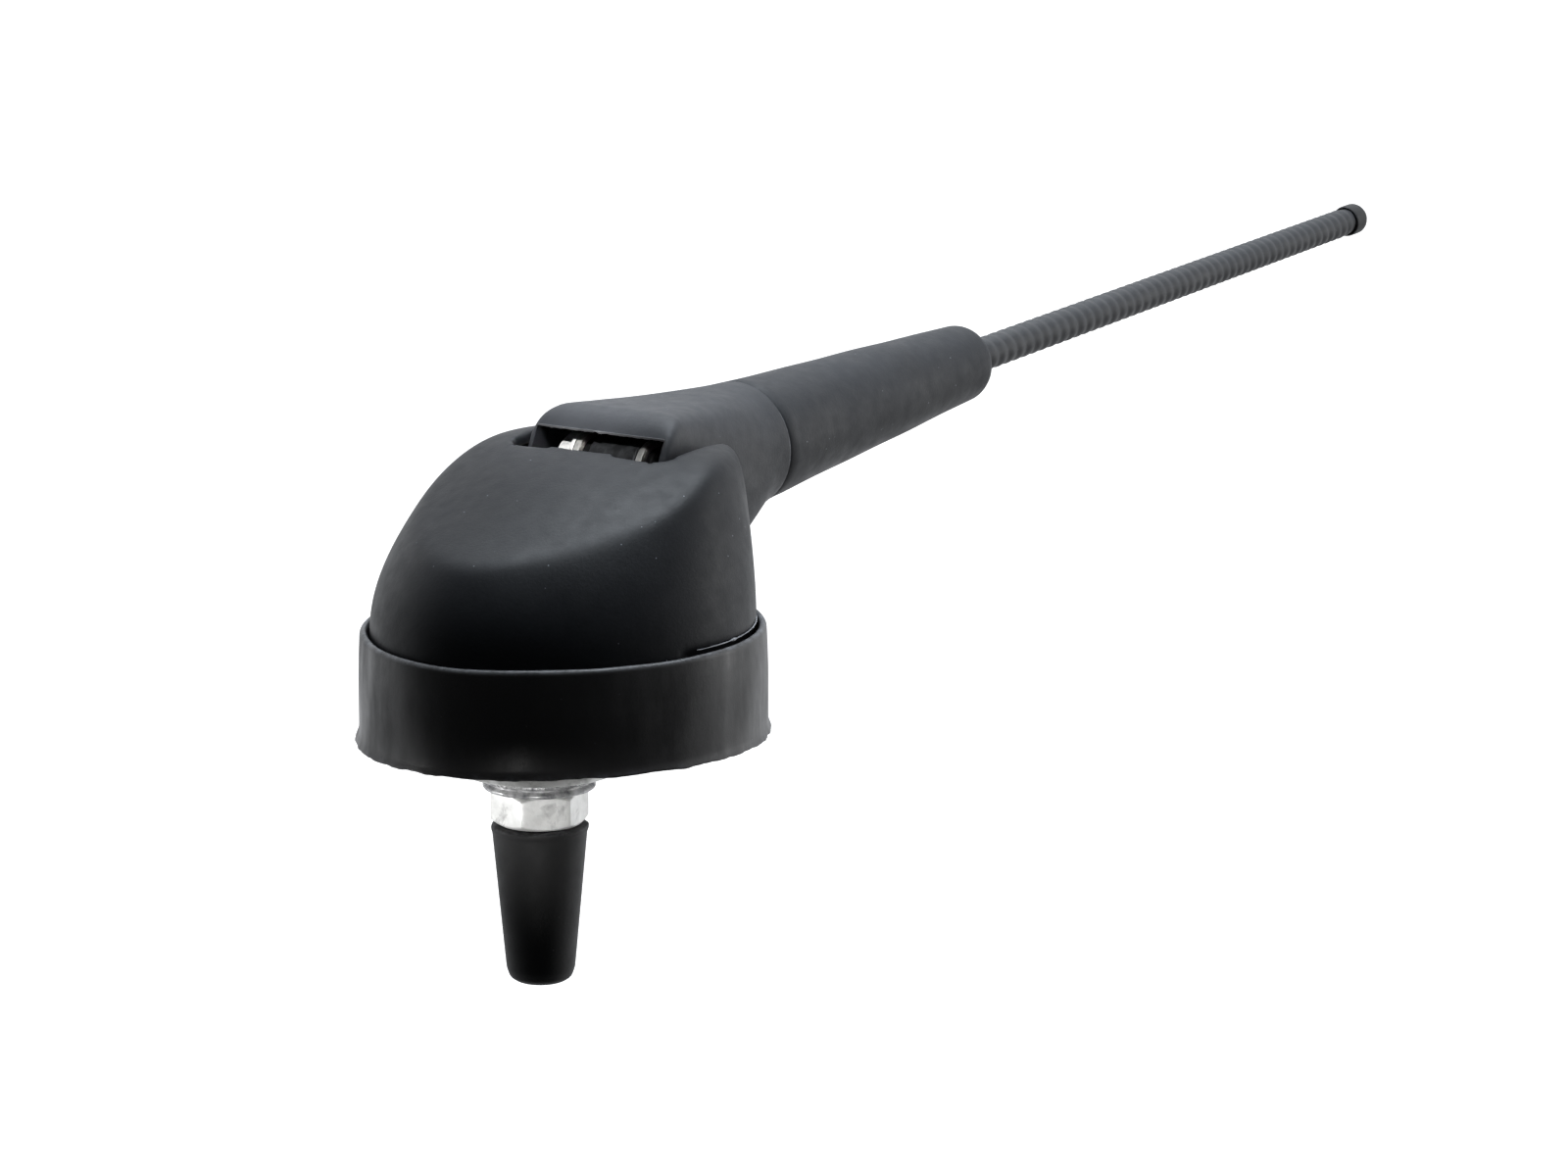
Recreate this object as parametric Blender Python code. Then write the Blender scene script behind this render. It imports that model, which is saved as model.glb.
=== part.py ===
"""Tilting roof antenna: rubber skirt, domed housing, tilting arm, screw-in whip, threaded roof stud with
claw washer, nut and push-on cap.  Metres, +Z up.  The origin is where the stud's axis meets the roof plane,
and the whip leans toward +X.  Every length below is in millimetres and is turned into metres by MM."""

import math

import bmesh
import bpy
import numpy as np
from mathutils import Matrix, Vector

MM = 0.001
SIDES = 28                      # facets round a turned piece

# ---- plan outline shared by skirt and housing: mean radius, rearward shift, ovalness, and two small egg terms
PLAN = (31.2, 6.1, 1.45, -0.3, 0.4)
PLAN_SIDES = 56
SKIRT_TOP = 16.2
SKIRT_WALL = 1.0
SKIRT_FLARE = 0.5
FLOOR_TOP = 2.0
FLOOR_HOLE = 5.6

# ---- housing dome: the smallest of four limits, softened where they meet
DOME_INSET = 1.35
DOME_WALL = 2.0
DOME_FOOT = 2.3
DOME_CENTRE = (4.0, 10.0)       # x and z that the surface is swept from
WALL_LEAN = (5.75, 6.35, 0.75)     # inward lean of the side wall: all round, more at the nose, more at the flanks
FACET = (38.9, 0.438, 0.008)     # height at x = 0, slope, crown of the sloping front face
DOME_TOP = 42.5
DOME_REAR = (38.5, 0.10)
BLEND = 15.6
DOME_ROWS = 12
SLOT = (11.5, 14.3, 3.6)        # front edge x, half width, corner radius
SLOT_SILL = 19.0

# ---- tilting arm
PIVOT = (20.8, 37.9)            # x, z of the hinge axis, which runs along Y
SEAM = (53.8, 35.9)             # x, z of the centre of the joint face between arm and whip boot
MAST_TILT = math.radians(2.4)   # the whip rises this much above horizontal at rest
HOOD_SIDES = 40
#              x     top   bottom  half-width  squareness; the first rows rise up the raked nose
HOOD = ((14.9, 40.6, 20.0, 12.75, 16.0),
        (16.55, 43.85, 20.0, 12.80, 14.0),
        (18.1, 45.5, 20.0, 12.80, 11.0),
        (19.6, 46.35, 20.0, 12.70, 9.0),
        (21.5, 46.8, 20.0, 12.55, 7.5),
        (26.0, 46.65, 20.0, 12.15, 5.5),
        (34.0, 46.2, 20.0, 11.65, 4.0),
        (40.0, 46.0, 21.0, 11.10, 3.2),
        (46.0, 45.9, 23.3, 10.50, 2.5),
        (50.5, 45.85, 25.1, 10.05, 2.1),
        (53.8, 45.81, 25.99, 9.91, 2.0))
#                x     top   half-width of the hollow under the hood
HOOD_HOLLOW = ((17.0, 42.0, 11.75),
               (19.2, 44.6, 11.75),
               (20.6, 45.4, 11.60),
               (26.0, 45.3, 10.75),
               (34.0, 44.8, 10.30),
               (40.0, 44.1, 9.30))
HOLLOW_FLOOR = 8.0
WINDOW = (11.6, 43.85, 19.0)    # half-width, lintel height and depth in x of the opening in the nose
UNDERCUT = ((0.0, 38.0), (16.0, 38.0), (37.8, 22.4), (37.8, 5.0), (0.0, 5.0))
COLLAR_BORE = 6.2

# ---- hinge stack along Y, from -Y to +Y
SCREW_HEAD = (-9.0, -7.4, 3.7)  # start, end, radius
LUG_NEAR = (-7.3, -6.3)
BARREL = (-6.2, 2.4)
SPRING = (2.5, 4.2, 4.0)        # start, end, radius
LUG_FAR = (4.3, 5.3)
WASHER = (5.4, 6.1, 4.9)        # start, end, radius
NUT_Y = (6.2, 8.6)
NUT_FLATS = 8.0
PIN_END = 9.6
BARREL_R = 4.9
PIN_R = 2.45
LUG_R = 4.8
BRACKET_FOOT = (10.5, 31.0, 8.6, 15.4, 17.4)    # x from and to, half-width, z from and to
BRACKET_SCREWS = ((28.0, -2.0), (18.0, 0.4))
BLOCK_SCREWS = ((14.0, -6.5), (28.5, 6.8))
SCREW_HOLE = 1.55
SCREW_CLEAR = 1.7
SCREW_SINK = 3.0
LUG_BACK = ((27.0, 17.0),)      # x and z of the lug outline's corners behind and in front of its round top
LUG_FRONT = ((17.6, 33.0), (16.0, 24.0), (14.0, 17.0))
WEB_REAR = ((34.0, 29.2), (34.0, 40.4))
BOSS = (6.0, -22.0, -3.0)       # radius, then from and to along the whip axis
SOCKET = (2.55, 3.55, -17.5, -3.0)

# ---- pieces under the dome
PLATE_INSET = (4.9, 5.2)        # at mid height, at the rounded edges
PLATE_Z = (2.1, 2.4, 4.8, 5.1)
PLATE_HOLE = 4.1
BLOCK = ((9.0, -10.0, 5.2), (31.5, 10.0, 15.2))     # two opposite corners

# ---- whip, measured along its own axis from the seam
BOOT_END = 67.4
BOOT_R = (9.86, 6.22)
ROD_R = (2.83, 2.50)
RIB_PITCH = 2.6
RIB_HEIGHT = 0.22
CORE_R = 1.5
WHIP_END = 203.0

# ---- roof clamp and cap, below the roof plane
STUD_R = 3.98
STUD_END = -33.5
CLAW = (13.5, -4.4, -1.7)       # radius, lowest and highest level
NUT_AF = 13.0
NUT_Z = (-13.1, -7.8)
CAP_Z = (-37.9, -13.3)
CAP_R = (7.3, 4.95)


# =============================================================== helpers
def clear_scene():
    for item in list(bpy.data.objects):
        bpy.data.objects.remove(item, do_unlink=True)


def material(name, colour, metal, rough):
    made = bpy.data.materials.new(name)
    made.use_nodes = True
    shader = made.node_tree.nodes["Principled BSDF"]
    shader.inputs["Base Color"].default_value = (*colour, 1.0)
    shader.inputs["Metallic"].default_value = metal
    shader.inputs["Roughness"].default_value = rough
    return made


def add(name, verts, faces, mat, frame=None, smooth=True):
    """A named mesh object; verts in mm in the frame's own axes."""
    mesh = bpy.data.meshes.new(name)
    mesh.from_pydata([tuple(float(c) * MM for c in v) for v in verts], [], faces)
    tidy = bmesh.new()
    tidy.from_mesh(mesh)
    bmesh.ops.remove_doubles(tidy, verts=tidy.verts, dist=1e-7)
    bmesh.ops.recalc_face_normals(tidy, faces=tidy.faces)
    tidy.to_mesh(mesh)
    tidy.free()
    obj = bpy.data.objects.new(name, mesh)
    bpy.context.scene.collection.objects.link(obj)
    if frame is not None:
        obj.matrix_world = frame
    if mat is None:
        obj.hide_render = True
        obj.display_type = "WIRE"
    else:
        mesh.materials.append(mat)
    if smooth:
        mesh.shade_smooth()
        mesh.set_sharp_from_angle(angle=math.radians(35))
    return obj


def combine(obj, other, operation):
    """Live exact Boolean; the other object becomes a hidden guide."""
    other.hide_render = True
    other.display_type = "WIRE"
    step = obj.modifiers.new(other.name, "BOOLEAN")
    step.operation = operation
    step.solver = "EXACT"
    step.object = other


def skin(rings, close_ends=True, loop=False):
    """Quads between equal rings of points; loop joins the last ring to the first."""
    n = len(rings[0])
    verts = [p for ring in rings for p in ring]
    faces = []
    last = len(rings) if loop else len(rings) - 1
    for i in range(last):
        a, b = i * n, ((i + 1) % len(rings)) * n
        for j in range(n):
            k = (j + 1) % n
            faces.append((a + j, a + k, b + k, b + j))
    if close_ends and not loop:
        faces.append(tuple(range(n - 1, -1, -1)))
        faces.append(tuple((len(rings) - 1) * n + j for j in range(n)))
    return verts, faces


def turned(name, profile, mat, frame=None, sides=SIDES, hollow=True):
    """Lathe about the local Z axis.  hollow: the profile is a closed loop clear of the axis."""
    rings = [[(r * math.cos(2 * math.pi * j / sides), r * math.sin(2 * math.pi * j / sides), z)
              for j in range(sides)] for r, z in profile]
    return add(name, *skin(rings, loop=hollow), mat, frame)


def tube(name, r_in, r_out, z0, z1, mat, frame=None, sides=SIDES, bevel=0.15):
    loop = ((r_in, z0), (r_out - bevel, z0), (r_out, z0 + bevel), (r_out, z1 - bevel), (r_out - bevel, z1),
            (r_in, z1))
    return turned(name, loop, mat, frame, sides)


def rod(name, r, z0, z1, mat, frame=None, sides=SIDES):
    return turned(name, ((r, z0), (r, z1)), mat, frame, sides, hollow=False)


def prism(name, outline, y0, y1, mat):
    """An outline in X and Z, drawn out along Y."""
    rings = [[(x, y, z) for x, z in outline] for y in (y0, y1)]
    return add(name, *skin(rings), mat, smooth=False)


def box(name, low, high, mat):
    (x0, y0, z0), (x1, y1, z1) = low, high
    return prism(name, ((x0, z0), (x1, z0), (x1, z1), (x0, z1)), y0, y1, mat)


def along(point, direction):
    """Frame whose Z axis is the direction and whose origin is the point in mm."""
    turn = Vector(direction).to_track_quat("Z", "Y").to_matrix().to_4x4()
    return Matrix.Translation(Vector(point) * MM) @ turn


def screw(name, x, y, top, depth, head_r, head_h, shank_r, mat, down=True):
    """Pan-head screw; top is the seat under its head."""
    sign = -1.0 if down else 1.0
    frame = along((x, y, top), (0, 0, sign))
    profile = ((0.9, -head_h), (head_r * 0.8, -head_h), (head_r, -head_h * 0.55), (head_r, 0.0), (shank_r, 0.0),
               (shank_r, depth - 0.4), (shank_r * 0.6, depth))
    return turned(name, profile, mat, frame, 20, hollow=False)


# =============================================================== plan outline
def plan_point(angle, inset):
    """Point of the plan outline whose outward normal has this angle."""
    c, s = math.cos(angle), math.sin(angle)
    reach = sum(a * math.cos(k * angle) for k, a in enumerate(PLAN)) - inset
    swing = -sum(a * k * math.sin(k * angle) for k, a in enumerate(PLAN))
    return reach * c - swing * s, reach * s + swing * c


def plan_ring(inset, z, sides=PLAN_SIDES):
    return [(*plan_point(2 * math.pi * j / sides, inset), z) for j in range(sides)]


def plan_reach(inset, samples=720):
    """Distance from the dome centre to the outline, as a table over the direction."""
    pts = np.array([plan_point(2 * math.pi * j / samples, inset) for j in range(samples)])
    pts = pts - np.array([DOME_CENTRE[0], 0.0])
    angle = np.arctan2(pts[:, 1], pts[:, 0])
    order = np.argsort(angle)
    return angle[order], np.hypot(pts[:, 0], pts[:, 1])[order]


# =============================================================== dome surface
def largest_inside(outside, top=140.0):
    low, high = 0.0, top
    for _ in range(40):
        mid = (low + high) / 2
        if outside(mid):
            high = mid
        else:
            low = mid
    return low


def dome_point(rise, turn, table, shrink):
    """Point of the dome in the direction given by its rise and turn angles; shrink insets every limit."""
    x0, z0 = DOME_CENTRE
    dx, dy, dz = math.cos(rise) * math.cos(turn), math.cos(rise) * math.sin(turn), math.sin(rise)
    edge = float(np.interp(turn, table[0], table[1], period=2 * math.pi))
    lean = max(WALL_LEAN[0] - WALL_LEAN[1] * math.cos(turn) + WALL_LEAN[2] * math.sin(turn) ** 2, 0.5)
    wall = largest_inside(lambda s: s * math.cos(rise) > edge - lean * (max(z0 + s * dz - 16.0, 0) / 20.0) ** 2)
    level, slope, crown = FACET
    level -= shrink * math.hypot(1.0, slope)
    front = largest_inside(lambda s: z0 + s * dz > level + slope * (x0 + s * dx) - crown * (s * dy) ** 2)
    roof = (DOME_TOP - shrink - z0) / max(dz, 1e-3)
    rear_x, rear_lean = DOME_REAR
    toward = dx + rear_lean * dz
    rear = (rear_x - shrink - x0 + rear_lean * (16.0 - z0)) / toward if toward > 0.02 else 1e3
    reach = sum(1.0 / max(v, 0.1) ** BLEND for v in (wall, front, roof, rear)) ** (-1.0 / BLEND)
    return x0 + reach * dx, reach * dy, z0 + reach * dz


def dome_rings(shrink, foot):
    table = plan_reach(DOME_INSET + shrink)
    turns = [2 * math.pi * (j + 0.5) / PLAN_SIDES for j in range(PLAN_SIDES)]
    rings = []
    for i in range(DOME_ROWS):
        rise = math.radians(88.0) * (i / (DOME_ROWS - 1)) ** 0.9
        rings.append([dome_point(rise, t, table, shrink) for t in turns])
    rings.insert(0, [(x, y, foot) for x, y, z in rings[0]])
    return rings


def make_housing(mat):
    outer = dome_rings(0.0, DOME_FOOT)
    inner = dome_rings(DOME_WALL, DOME_FOOT)
    n = PLAN_SIDES
    rings = outer[::-1] + inner
    verts, faces = skin(rings, close_ends=False)
    faces.append(tuple(range(n)))
    faces.append(tuple((len(rings) - 1) * n + j for j in range(n - 1, -1, -1)))
    housing = add("housing", verts, faces, mat)
    front, half, corner = SLOT
    plan = [(80.0, -half), (80.0, half)]
    for side in (1, -1):
        arc = [(front + corner - corner * math.sin(a), side * (half - corner + corner * math.cos(a)))
               for a in np.linspace(0.0, math.pi / 2, 7)]
        plan += arc if side == 1 else arc[::-1]
    rings = [[(x, y, z) for x, y in plan] for z in (SLOT_SILL, 60.0)]
    combine(housing, add("slot_cutter", *skin(rings), None, smooth=False), "DIFFERENCE")
    return housing


# =============================================================== base pieces
def make_base(mats):
    skirt = [plan_ring(-SKIRT_FLARE, 0.0), plan_ring(-SKIRT_FLARE, 0.7), plan_ring(-0.1, 1.6),
             plan_ring(0.0, SKIRT_TOP - 0.4), plan_ring(0.35, SKIRT_TOP), plan_ring(0.7, SKIRT_TOP),
             plan_ring(SKIRT_WALL, SKIRT_TOP - 0.5), plan_ring(SKIRT_WALL, FLOOR_TOP)]
    circle = [(math.cos(2 * math.pi * j / PLAN_SIDES), math.sin(2 * math.pi * j / PLAN_SIDES))
              for j in range(PLAN_SIDES)]
    skirt += [[(FLOOR_HOLE * c, FLOOR_HOLE * s, z) for c, s in circle] for z in (FLOOR_TOP, 0.0)]
    add("gasket", *skin(skirt, loop=True), mats["rubber"])

    make_housing(mats["shell"])

    wide, narrow = PLATE_INSET
    plate = [plan_ring(inset, z) for inset, z in zip((narrow, wide, wide, narrow), PLATE_Z)]
    plate += [[(PLATE_HOLE * c, PLATE_HOLE * s, z) for c, s in circle] for z in (PLATE_Z[-1], PLATE_Z[0])]
    plate = add("base_plate", *skin(plate, loop=True), mats["zinc"])

    block = box("insulator_block", *BLOCK, mats["plastic"])
    for i, (x, y) in enumerate(BLOCK_SCREWS, 1):
        seat = along((x, y, 0.0), (0, 0, 1))
        combine(plate, rod(f"plate_hole_{i}", SCREW_CLEAR, 0.0, 8.0, None, seat, 20), "DIFFERENCE")
        combine(plate, rod(f"plate_sink_{i}", SCREW_SINK, 0.0, 3.5, None, seat, 20), "DIFFERENCE")
        combine(block, rod(f"block_hole_{i}", SCREW_HOLE, 4.0, 13.0, None, seat, 20), "DIFFERENCE")
        screw(f"block_screw_{i}", x, y, 3.45, 9.0, 2.7, 1.2, 1.45, mats["steel"], down=False)
    for i, (x, y) in enumerate(BRACKET_SCREWS, 1):
        seat = along((x, y, 0.0), (0, 0, 1))
        combine(block, rod(f"bracket_pilot_{i}", SCREW_HOLE, 8.0, 20.0, None, seat, 20), "DIFFERENCE")
        screw(f"bracket_screw_{i}", x, y, BRACKET_FOOT[4] + 0.05, 8.6, 2.7, 1.6, 1.45, mats["steel"])

    stud = ((2.45, 7.2), (6.3, 7.2), (6.6, 6.9), (6.6, 5.2), (STUD_R, 5.2), (STUD_R, -0.4), (3.6, -0.8), (3.6, -1.4),
            (STUD_R, -1.8), (STUD_R, STUD_END + 0.6), (3.5, STUD_END), (2.75, STUD_END), (2.45, STUD_END + 0.4))
    turned("mounting_stud", stud, mats["zinc"])
    turned("stud_insulator", ((0.8, 8.4), (3.6, 8.4), (3.6, 7.3), (2.38, 7.3), (2.38, -27.0), (0.8, -27.0)),
           mats["ptfe"], sides=20)
    rod("centre_pin", 0.7, -31.5, 9.9, mats["brass"], sides=16)
    path = ((-2.2, 10.0), (7.9, 10.0), (7.9, 17.5), (14.2, 17.5), (14.2, 18.0), (7.4, 18.0), (7.4, 10.5), (-2.2, 10.5))
    prism("contact_strip", path, -2.4, 0.9, mats["brass"])


# =============================================================== hinge pieces
def lug_outline():
    px, pz = PIVOT
    arc = [(px + LUG_R * math.cos(a), pz + LUG_R * math.sin(a)) for a in np.linspace(0, math.pi, 13)]
    return [*LUG_BACK, *arc, *LUG_FRONT]


def make_bracket(mats):
    x0, x1, half, z0, z1 = BRACKET_FOOT
    bracket = box("hinge_bracket", (x0, -half, z0), (x1, half, z1), mats["zinc"])
    for name, (y0, y1) in (("lug_near_guide", LUG_NEAR), ("lug_far_guide", LUG_FAR)):
        combine(bracket, prism(name, lug_outline(), y0, y1, None), "UNION")
    across = along((PIVOT[0], 0.0, PIVOT[1]), (0, 1, 0))
    combine(bracket, rod("pivot_hole", PIN_R + 0.1, -20, 20, None, across, 24), "DIFFERENCE")
    for i, (x, y) in enumerate(BRACKET_SCREWS, 1):
        hole = rod(f"bracket_hole_{i}", SCREW_CLEAR, 10.0, 19.0, None, along((x, y, 0.0), (0, 0, 1)), 20)
        combine(bracket, hole, "DIFFERENCE")

    y0, y1, head = SCREW_HEAD
    pin = ((head * 0.75, y0), (head, y0 + 0.6), (head, y1), (PIN_R, y1), (PIN_R, PIN_END - 0.4), (PIN_R - 0.4, PIN_END))
    turned("pivot_screw", pin, mats["black_steel"], across, 24, hollow=False)
    tube("spring_washer", PIN_R + 0.15, SPRING[2], *SPRING[:2], mats["black_steel"], across)
    tube("flat_washer", PIN_R + 0.15, WASHER[2], *WASHER[:2], mats["bright"], across)
    hexagon("pivot_nut", NUT_FLATS, PIN_R + 0.08, *NUT_Y, mats["bright"], across)


def hexagon(name, across_flats, bore, z0, z1, mat, frame=None, turn=0.0):
    """Chamfered hex nut with 24 points to the ring."""
    n, flat = 24, across_flats / 2
    corner = flat / math.cos(math.pi / 6)

    def ring(limit, z):
        out = []
        for j in range(n):
            a = 2 * math.pi * j / n
            r = flat / math.cos((a + math.pi / 6) % (math.pi / 3) - math.pi / 6)
            r = min(r, limit)
            out.append((r * math.cos(a + turn), r * math.sin(a + turn), z))
        return out
    drop = (z1 - z0) * 0.1
    rings = [ring(bore + 0.5, z0), ring(flat, z0), ring(corner, z0 + drop), ring(corner, z1 - drop), ring(flat, z1),
             ring(bore + 0.5, z1), ring(bore, z1 - 0.5), ring(bore, z0 + 0.5)]
    return add(name, *skin(rings, loop=True), mat, frame, smooth=False)


# =============================================================== arm
def squared_ring(x, top, low, half, power):
    """Squared-oval section; near the collar it leans so that its last face is square to the whip."""
    mid, tall = (top + low) / 2, (top - low) / 2
    lean = math.tan(MAST_TILT) * min(max((x - 40.0) / 10.0, 0.0), 1.0)
    ring = []
    for j in range(HOOD_SIDES):
        a = 2 * math.pi * j / HOOD_SIDES
        c, s = math.cos(a), math.sin(a)
        y = half * math.copysign(abs(c) ** (2 / power), c)
        z = mid + tall * math.copysign(abs(s) ** (2 / power), s)
        ring.append((x - PIVOT[0] - lean * (z - SEAM[1]), y, z - PIVOT[1]))
    return ring


def make_arm(mats):
    at_pivot = Matrix.Translation((PIVOT[0] * MM, 0.0, PIVOT[1] * MM))
    across = along((PIVOT[0], 0.0, PIVOT[1]), (0, 1, 0))
    hood = add("arm_hood", *skin([squared_ring(*row) for row in HOOD]), mats["shell"], at_pivot)
    half, lintel, depth = WINDOW
    combine(hood, prism("undercut_guide", UNDERCUT, -30, 30, None), "DIFFERENCE")
    combine(hood, box("window_guide", (5.0, -half, HOLLOW_FLOOR), (depth, half, lintel), None), "DIFFERENCE")
    inside = [squared_ring(x, top, HOLLOW_FLOOR, wide, 9.0) for x, top, wide in HOOD_HOLLOW]
    combine(hood, add("hollow_guide", *skin(inside), None, at_pivot), "DIFFERENCE")
    axis = mast_frame()
    combine(hood, rod("collar_bore", COLLAR_BORE, -20.0, 5.0, None, axis, 24), "DIFFERENCE")

    barrel = rod("knuckle", BARREL_R, *BARREL, mats["dark_cast"], across, 32)
    px, pz = PIVOT
    web = [(px + 4.8 * math.cos(a), pz + 4.8 * math.sin(a)) for a in np.linspace(1.45, 3.9, 8)]
    web = [*WEB_REAR, *web]
    combine(barrel, prism("web_guide", web, *BARREL, None), "UNION")
    combine(barrel, rod("boss_guide", *BOSS, None, axis, 24), "UNION")
    combine(barrel, rod("knuckle_bore", PIN_R + 0.15, -20, 20, None, across, 24), "DIFFERENCE")
    combine(barrel, rod("insert_bore", 3.6, -18.0, 5.0, None, axis, 24), "DIFFERENCE")
    tube("mast_socket", *SOCKET, mats["brass"], axis, 24)


# =============================================================== whip
def mast_frame():
    return along((SEAM[0], 0.0, SEAM[1]), (math.cos(MAST_TILT), 0.0, math.sin(MAST_TILT)))


def rod_radius(s):
    return ROD_R[0] + (ROD_R[1] - ROD_R[0]) * (s - BOOT_END) / (WHIP_END - BOOT_END)


def make_whip(mats):
    axis = mast_frame()
    tube("seal_ring", 2.6, 5.9, -2.8, 0.0, mats["rubber"], axis, 24, bevel=0.4)
    ferrule = ((2.0, -16.2), (2.42, -15.8), (2.42, 0.3), (5.6, 0.3), (5.6, 13.7), (5.2, 14.1), (1.7, 14.1), (1.7, 2.0))
    centre = [[(r * math.cos(2 * math.pi * j / 24), r * math.sin(2 * math.pi * j / 24), z) for j in range(24)]
              for r, z in ferrule]
    add("mast_ferrule", *skin(centre), mats["zinc"], axis)

    r0, r1 = BOOT_R
    slope = (r1 - r0) / BOOT_END
    end = BOOT_END
    boot = [(5.75, 0.3), (r0 - 0.25, 0.3), (r0, 0.6)]
    boot += [(r0 + slope * s, s) for s in (18.0, 36.0, 52.0, end - 2.6)]
    tip = r0 + slope * (end - 2.6)
    boot += [(tip - 1.9 * (1 - math.cos(a)), end - 2.6 + 2.6 * math.sin(a)) for a in (0.5, 1.0, 1.35)]
    boot += [(tip - 2.2, end), (2.95, end), (2.95, 14.5), (5.75, 14.3)]
    turned("mast_boot", boot, mats["shell"], axis, 28)

    rod("rod_core", CORE_R, 2.2, WHIP_END - 1.4, mats["steel"], axis, 16)
    tube("winding", CORE_R + 0.05, 1.95, 14.6, WHIP_END - 1.6, mats["steel"], axis, 16, bevel=0.1)
    sheath = [(2.02, 15.0), (2.8, 15.0)]
    s = BOOT_END - 2.0
    while s < WHIP_END - 6.0:
        sheath.append((rod_radius(s) - RIB_HEIGHT, s))
        sheath.append((rod_radius(s), s + RIB_PITCH / 2))
        s += RIB_PITCH
    sheath += [(2.25, WHIP_END - 5.0), (2.25, WHIP_END - 1.9), (2.02, WHIP_END - 1.9)]
    turned("sheath", sheath, mats["sheath"], axis, 16)
    e = WHIP_END
    cap = ((0.3, e - 1.2), (2.32, e - 1.2), (2.32, e - 4.9), (2.65, e - 4.9), (2.75, e - 4.5), (2.75, e - 1.2),
           (2.3, e - 0.3), (1.2, e), (0.3, e))
    turned("tip_cap", cap, mats["rubber"], axis, 16, hollow=False)


# =============================================================== clamp below the roof
def make_clamp(mats):
    r, low, high = CLAW
    n = 48
    rings = []
    for radius, z, tooth in ((4.15, low, 0), (9.0, low, 0), (r - 0.6, -2.9, 0), (r, -2.6, 0), (r, -2.2, 1),
                             (r - 0.9, -2.2, 1), (r - 1.0, -2.6, 0), (8.6, low + 1.1, 0), (4.15, low + 1.1, 0)):
        ring = []
        for j in range(n):
            a = 2 * math.pi * j / n
            lift = (high + 2.2) if tooth and j % 4 in (1, 2) else 0.0
            ring.append((radius * math.cos(a), radius * math.sin(a), z + lift))
        rings.append(ring)
    add("claw_washer", *skin(rings, loop=True), mats["zinc"], smooth=False)
    washer = ((4.15, -7.6), (8.2, -7.6), (8.7, -7.1), (8.7, -6.6), (7.4, -5.6), (7.0, -4.6), (4.15, -4.6))
    turned("flange_washer", washer, mats["bright"])
    hexagon("hex_nut", NUT_AF, STUD_R + 0.08, *NUT_Z, mats["bright"], turn=math.radians(-16.0))

    z0, z1 = CAP_Z
    r1, r0 = CAP_R
    wall = ((4.15, z1), (r1 - 0.3, z1), (r1 + 0.1, z1 - 0.3), (r1 + 0.1, z1 - 0.9), (r1 - 0.15, z1 - 1.4),
            (r0 + 0.25, z0 + 2.2), (r0 - 0.2, z0 + 1.0), (r0 - 1.1, z0 + 0.25), (r0 - 2.4, z0))
    n = SIDES
    rings = [[(q * math.cos(2 * math.pi * j / n), q * math.sin(2 * math.pi * j / n), z) for j in range(n)]
             for q, z in (*wall[::-1], (4.15, STUD_END - 0.5))]
    add("stud_cap", *skin(rings), mats["cap"])


def main():
    clear_scene()
    mats = {
        "rubber": material("skirt_rubber", (0.012, 0.012, 0.013), 0.0, 0.55),
        "shell": material("shell_rubber", (0.055, 0.058, 0.065), 0.0, 0.62),
        "sheath": material("sheath_rubber", (0.045, 0.047, 0.052), 0.0, 0.6),
        "cap": material("cap_rubber", (0.02, 0.02, 0.02), 0.0, 0.5),
        "plastic": material("block_plastic", (0.02, 0.02, 0.022), 0.0, 0.5),
        "ptfe": material("white_insulator", (0.8, 0.8, 0.78), 0.0, 0.4),
        "zinc": material("zinc_plate", (0.62, 0.62, 0.60), 1.0, 0.38),
        "bright": material("bright_zinc", (0.75, 0.75, 0.73), 1.0, 0.28),
        "steel": material("steel", (0.5, 0.5, 0.5), 1.0, 0.35),
        "black_steel": material("black_steel", (0.03, 0.03, 0.03), 0.6, 0.5),
        "dark_cast": material("dark_casting", (0.04, 0.042, 0.045), 0.5, 0.55),
        "brass": material("brass", (0.75, 0.55, 0.25), 1.0, 0.35),
    }
    make_base(mats)
    make_bracket(mats)
    make_arm(mats)
    make_whip(mats)
    make_clamp(mats)


main()
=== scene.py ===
"""The looks of a tilting roof antenna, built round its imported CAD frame.  Lengths are in millimetres and are
turned into metres by MM; angles are in degrees until they are used."""

import math

import bpy
import numpy as np
from mathutils import Matrix, Vector


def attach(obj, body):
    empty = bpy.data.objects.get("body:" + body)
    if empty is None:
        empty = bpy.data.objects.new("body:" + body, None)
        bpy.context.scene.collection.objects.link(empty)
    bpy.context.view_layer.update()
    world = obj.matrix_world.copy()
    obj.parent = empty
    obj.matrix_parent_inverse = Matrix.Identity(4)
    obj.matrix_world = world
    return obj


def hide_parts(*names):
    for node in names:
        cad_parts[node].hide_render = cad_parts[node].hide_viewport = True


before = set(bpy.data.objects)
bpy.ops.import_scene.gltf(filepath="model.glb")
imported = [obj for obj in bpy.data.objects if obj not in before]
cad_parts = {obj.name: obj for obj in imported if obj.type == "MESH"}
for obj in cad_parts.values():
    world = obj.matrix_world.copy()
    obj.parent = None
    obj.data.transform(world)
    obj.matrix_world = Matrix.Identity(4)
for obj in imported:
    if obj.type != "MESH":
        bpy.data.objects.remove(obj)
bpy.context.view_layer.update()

MM = 0.001
TURN = 2 * math.pi

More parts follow.
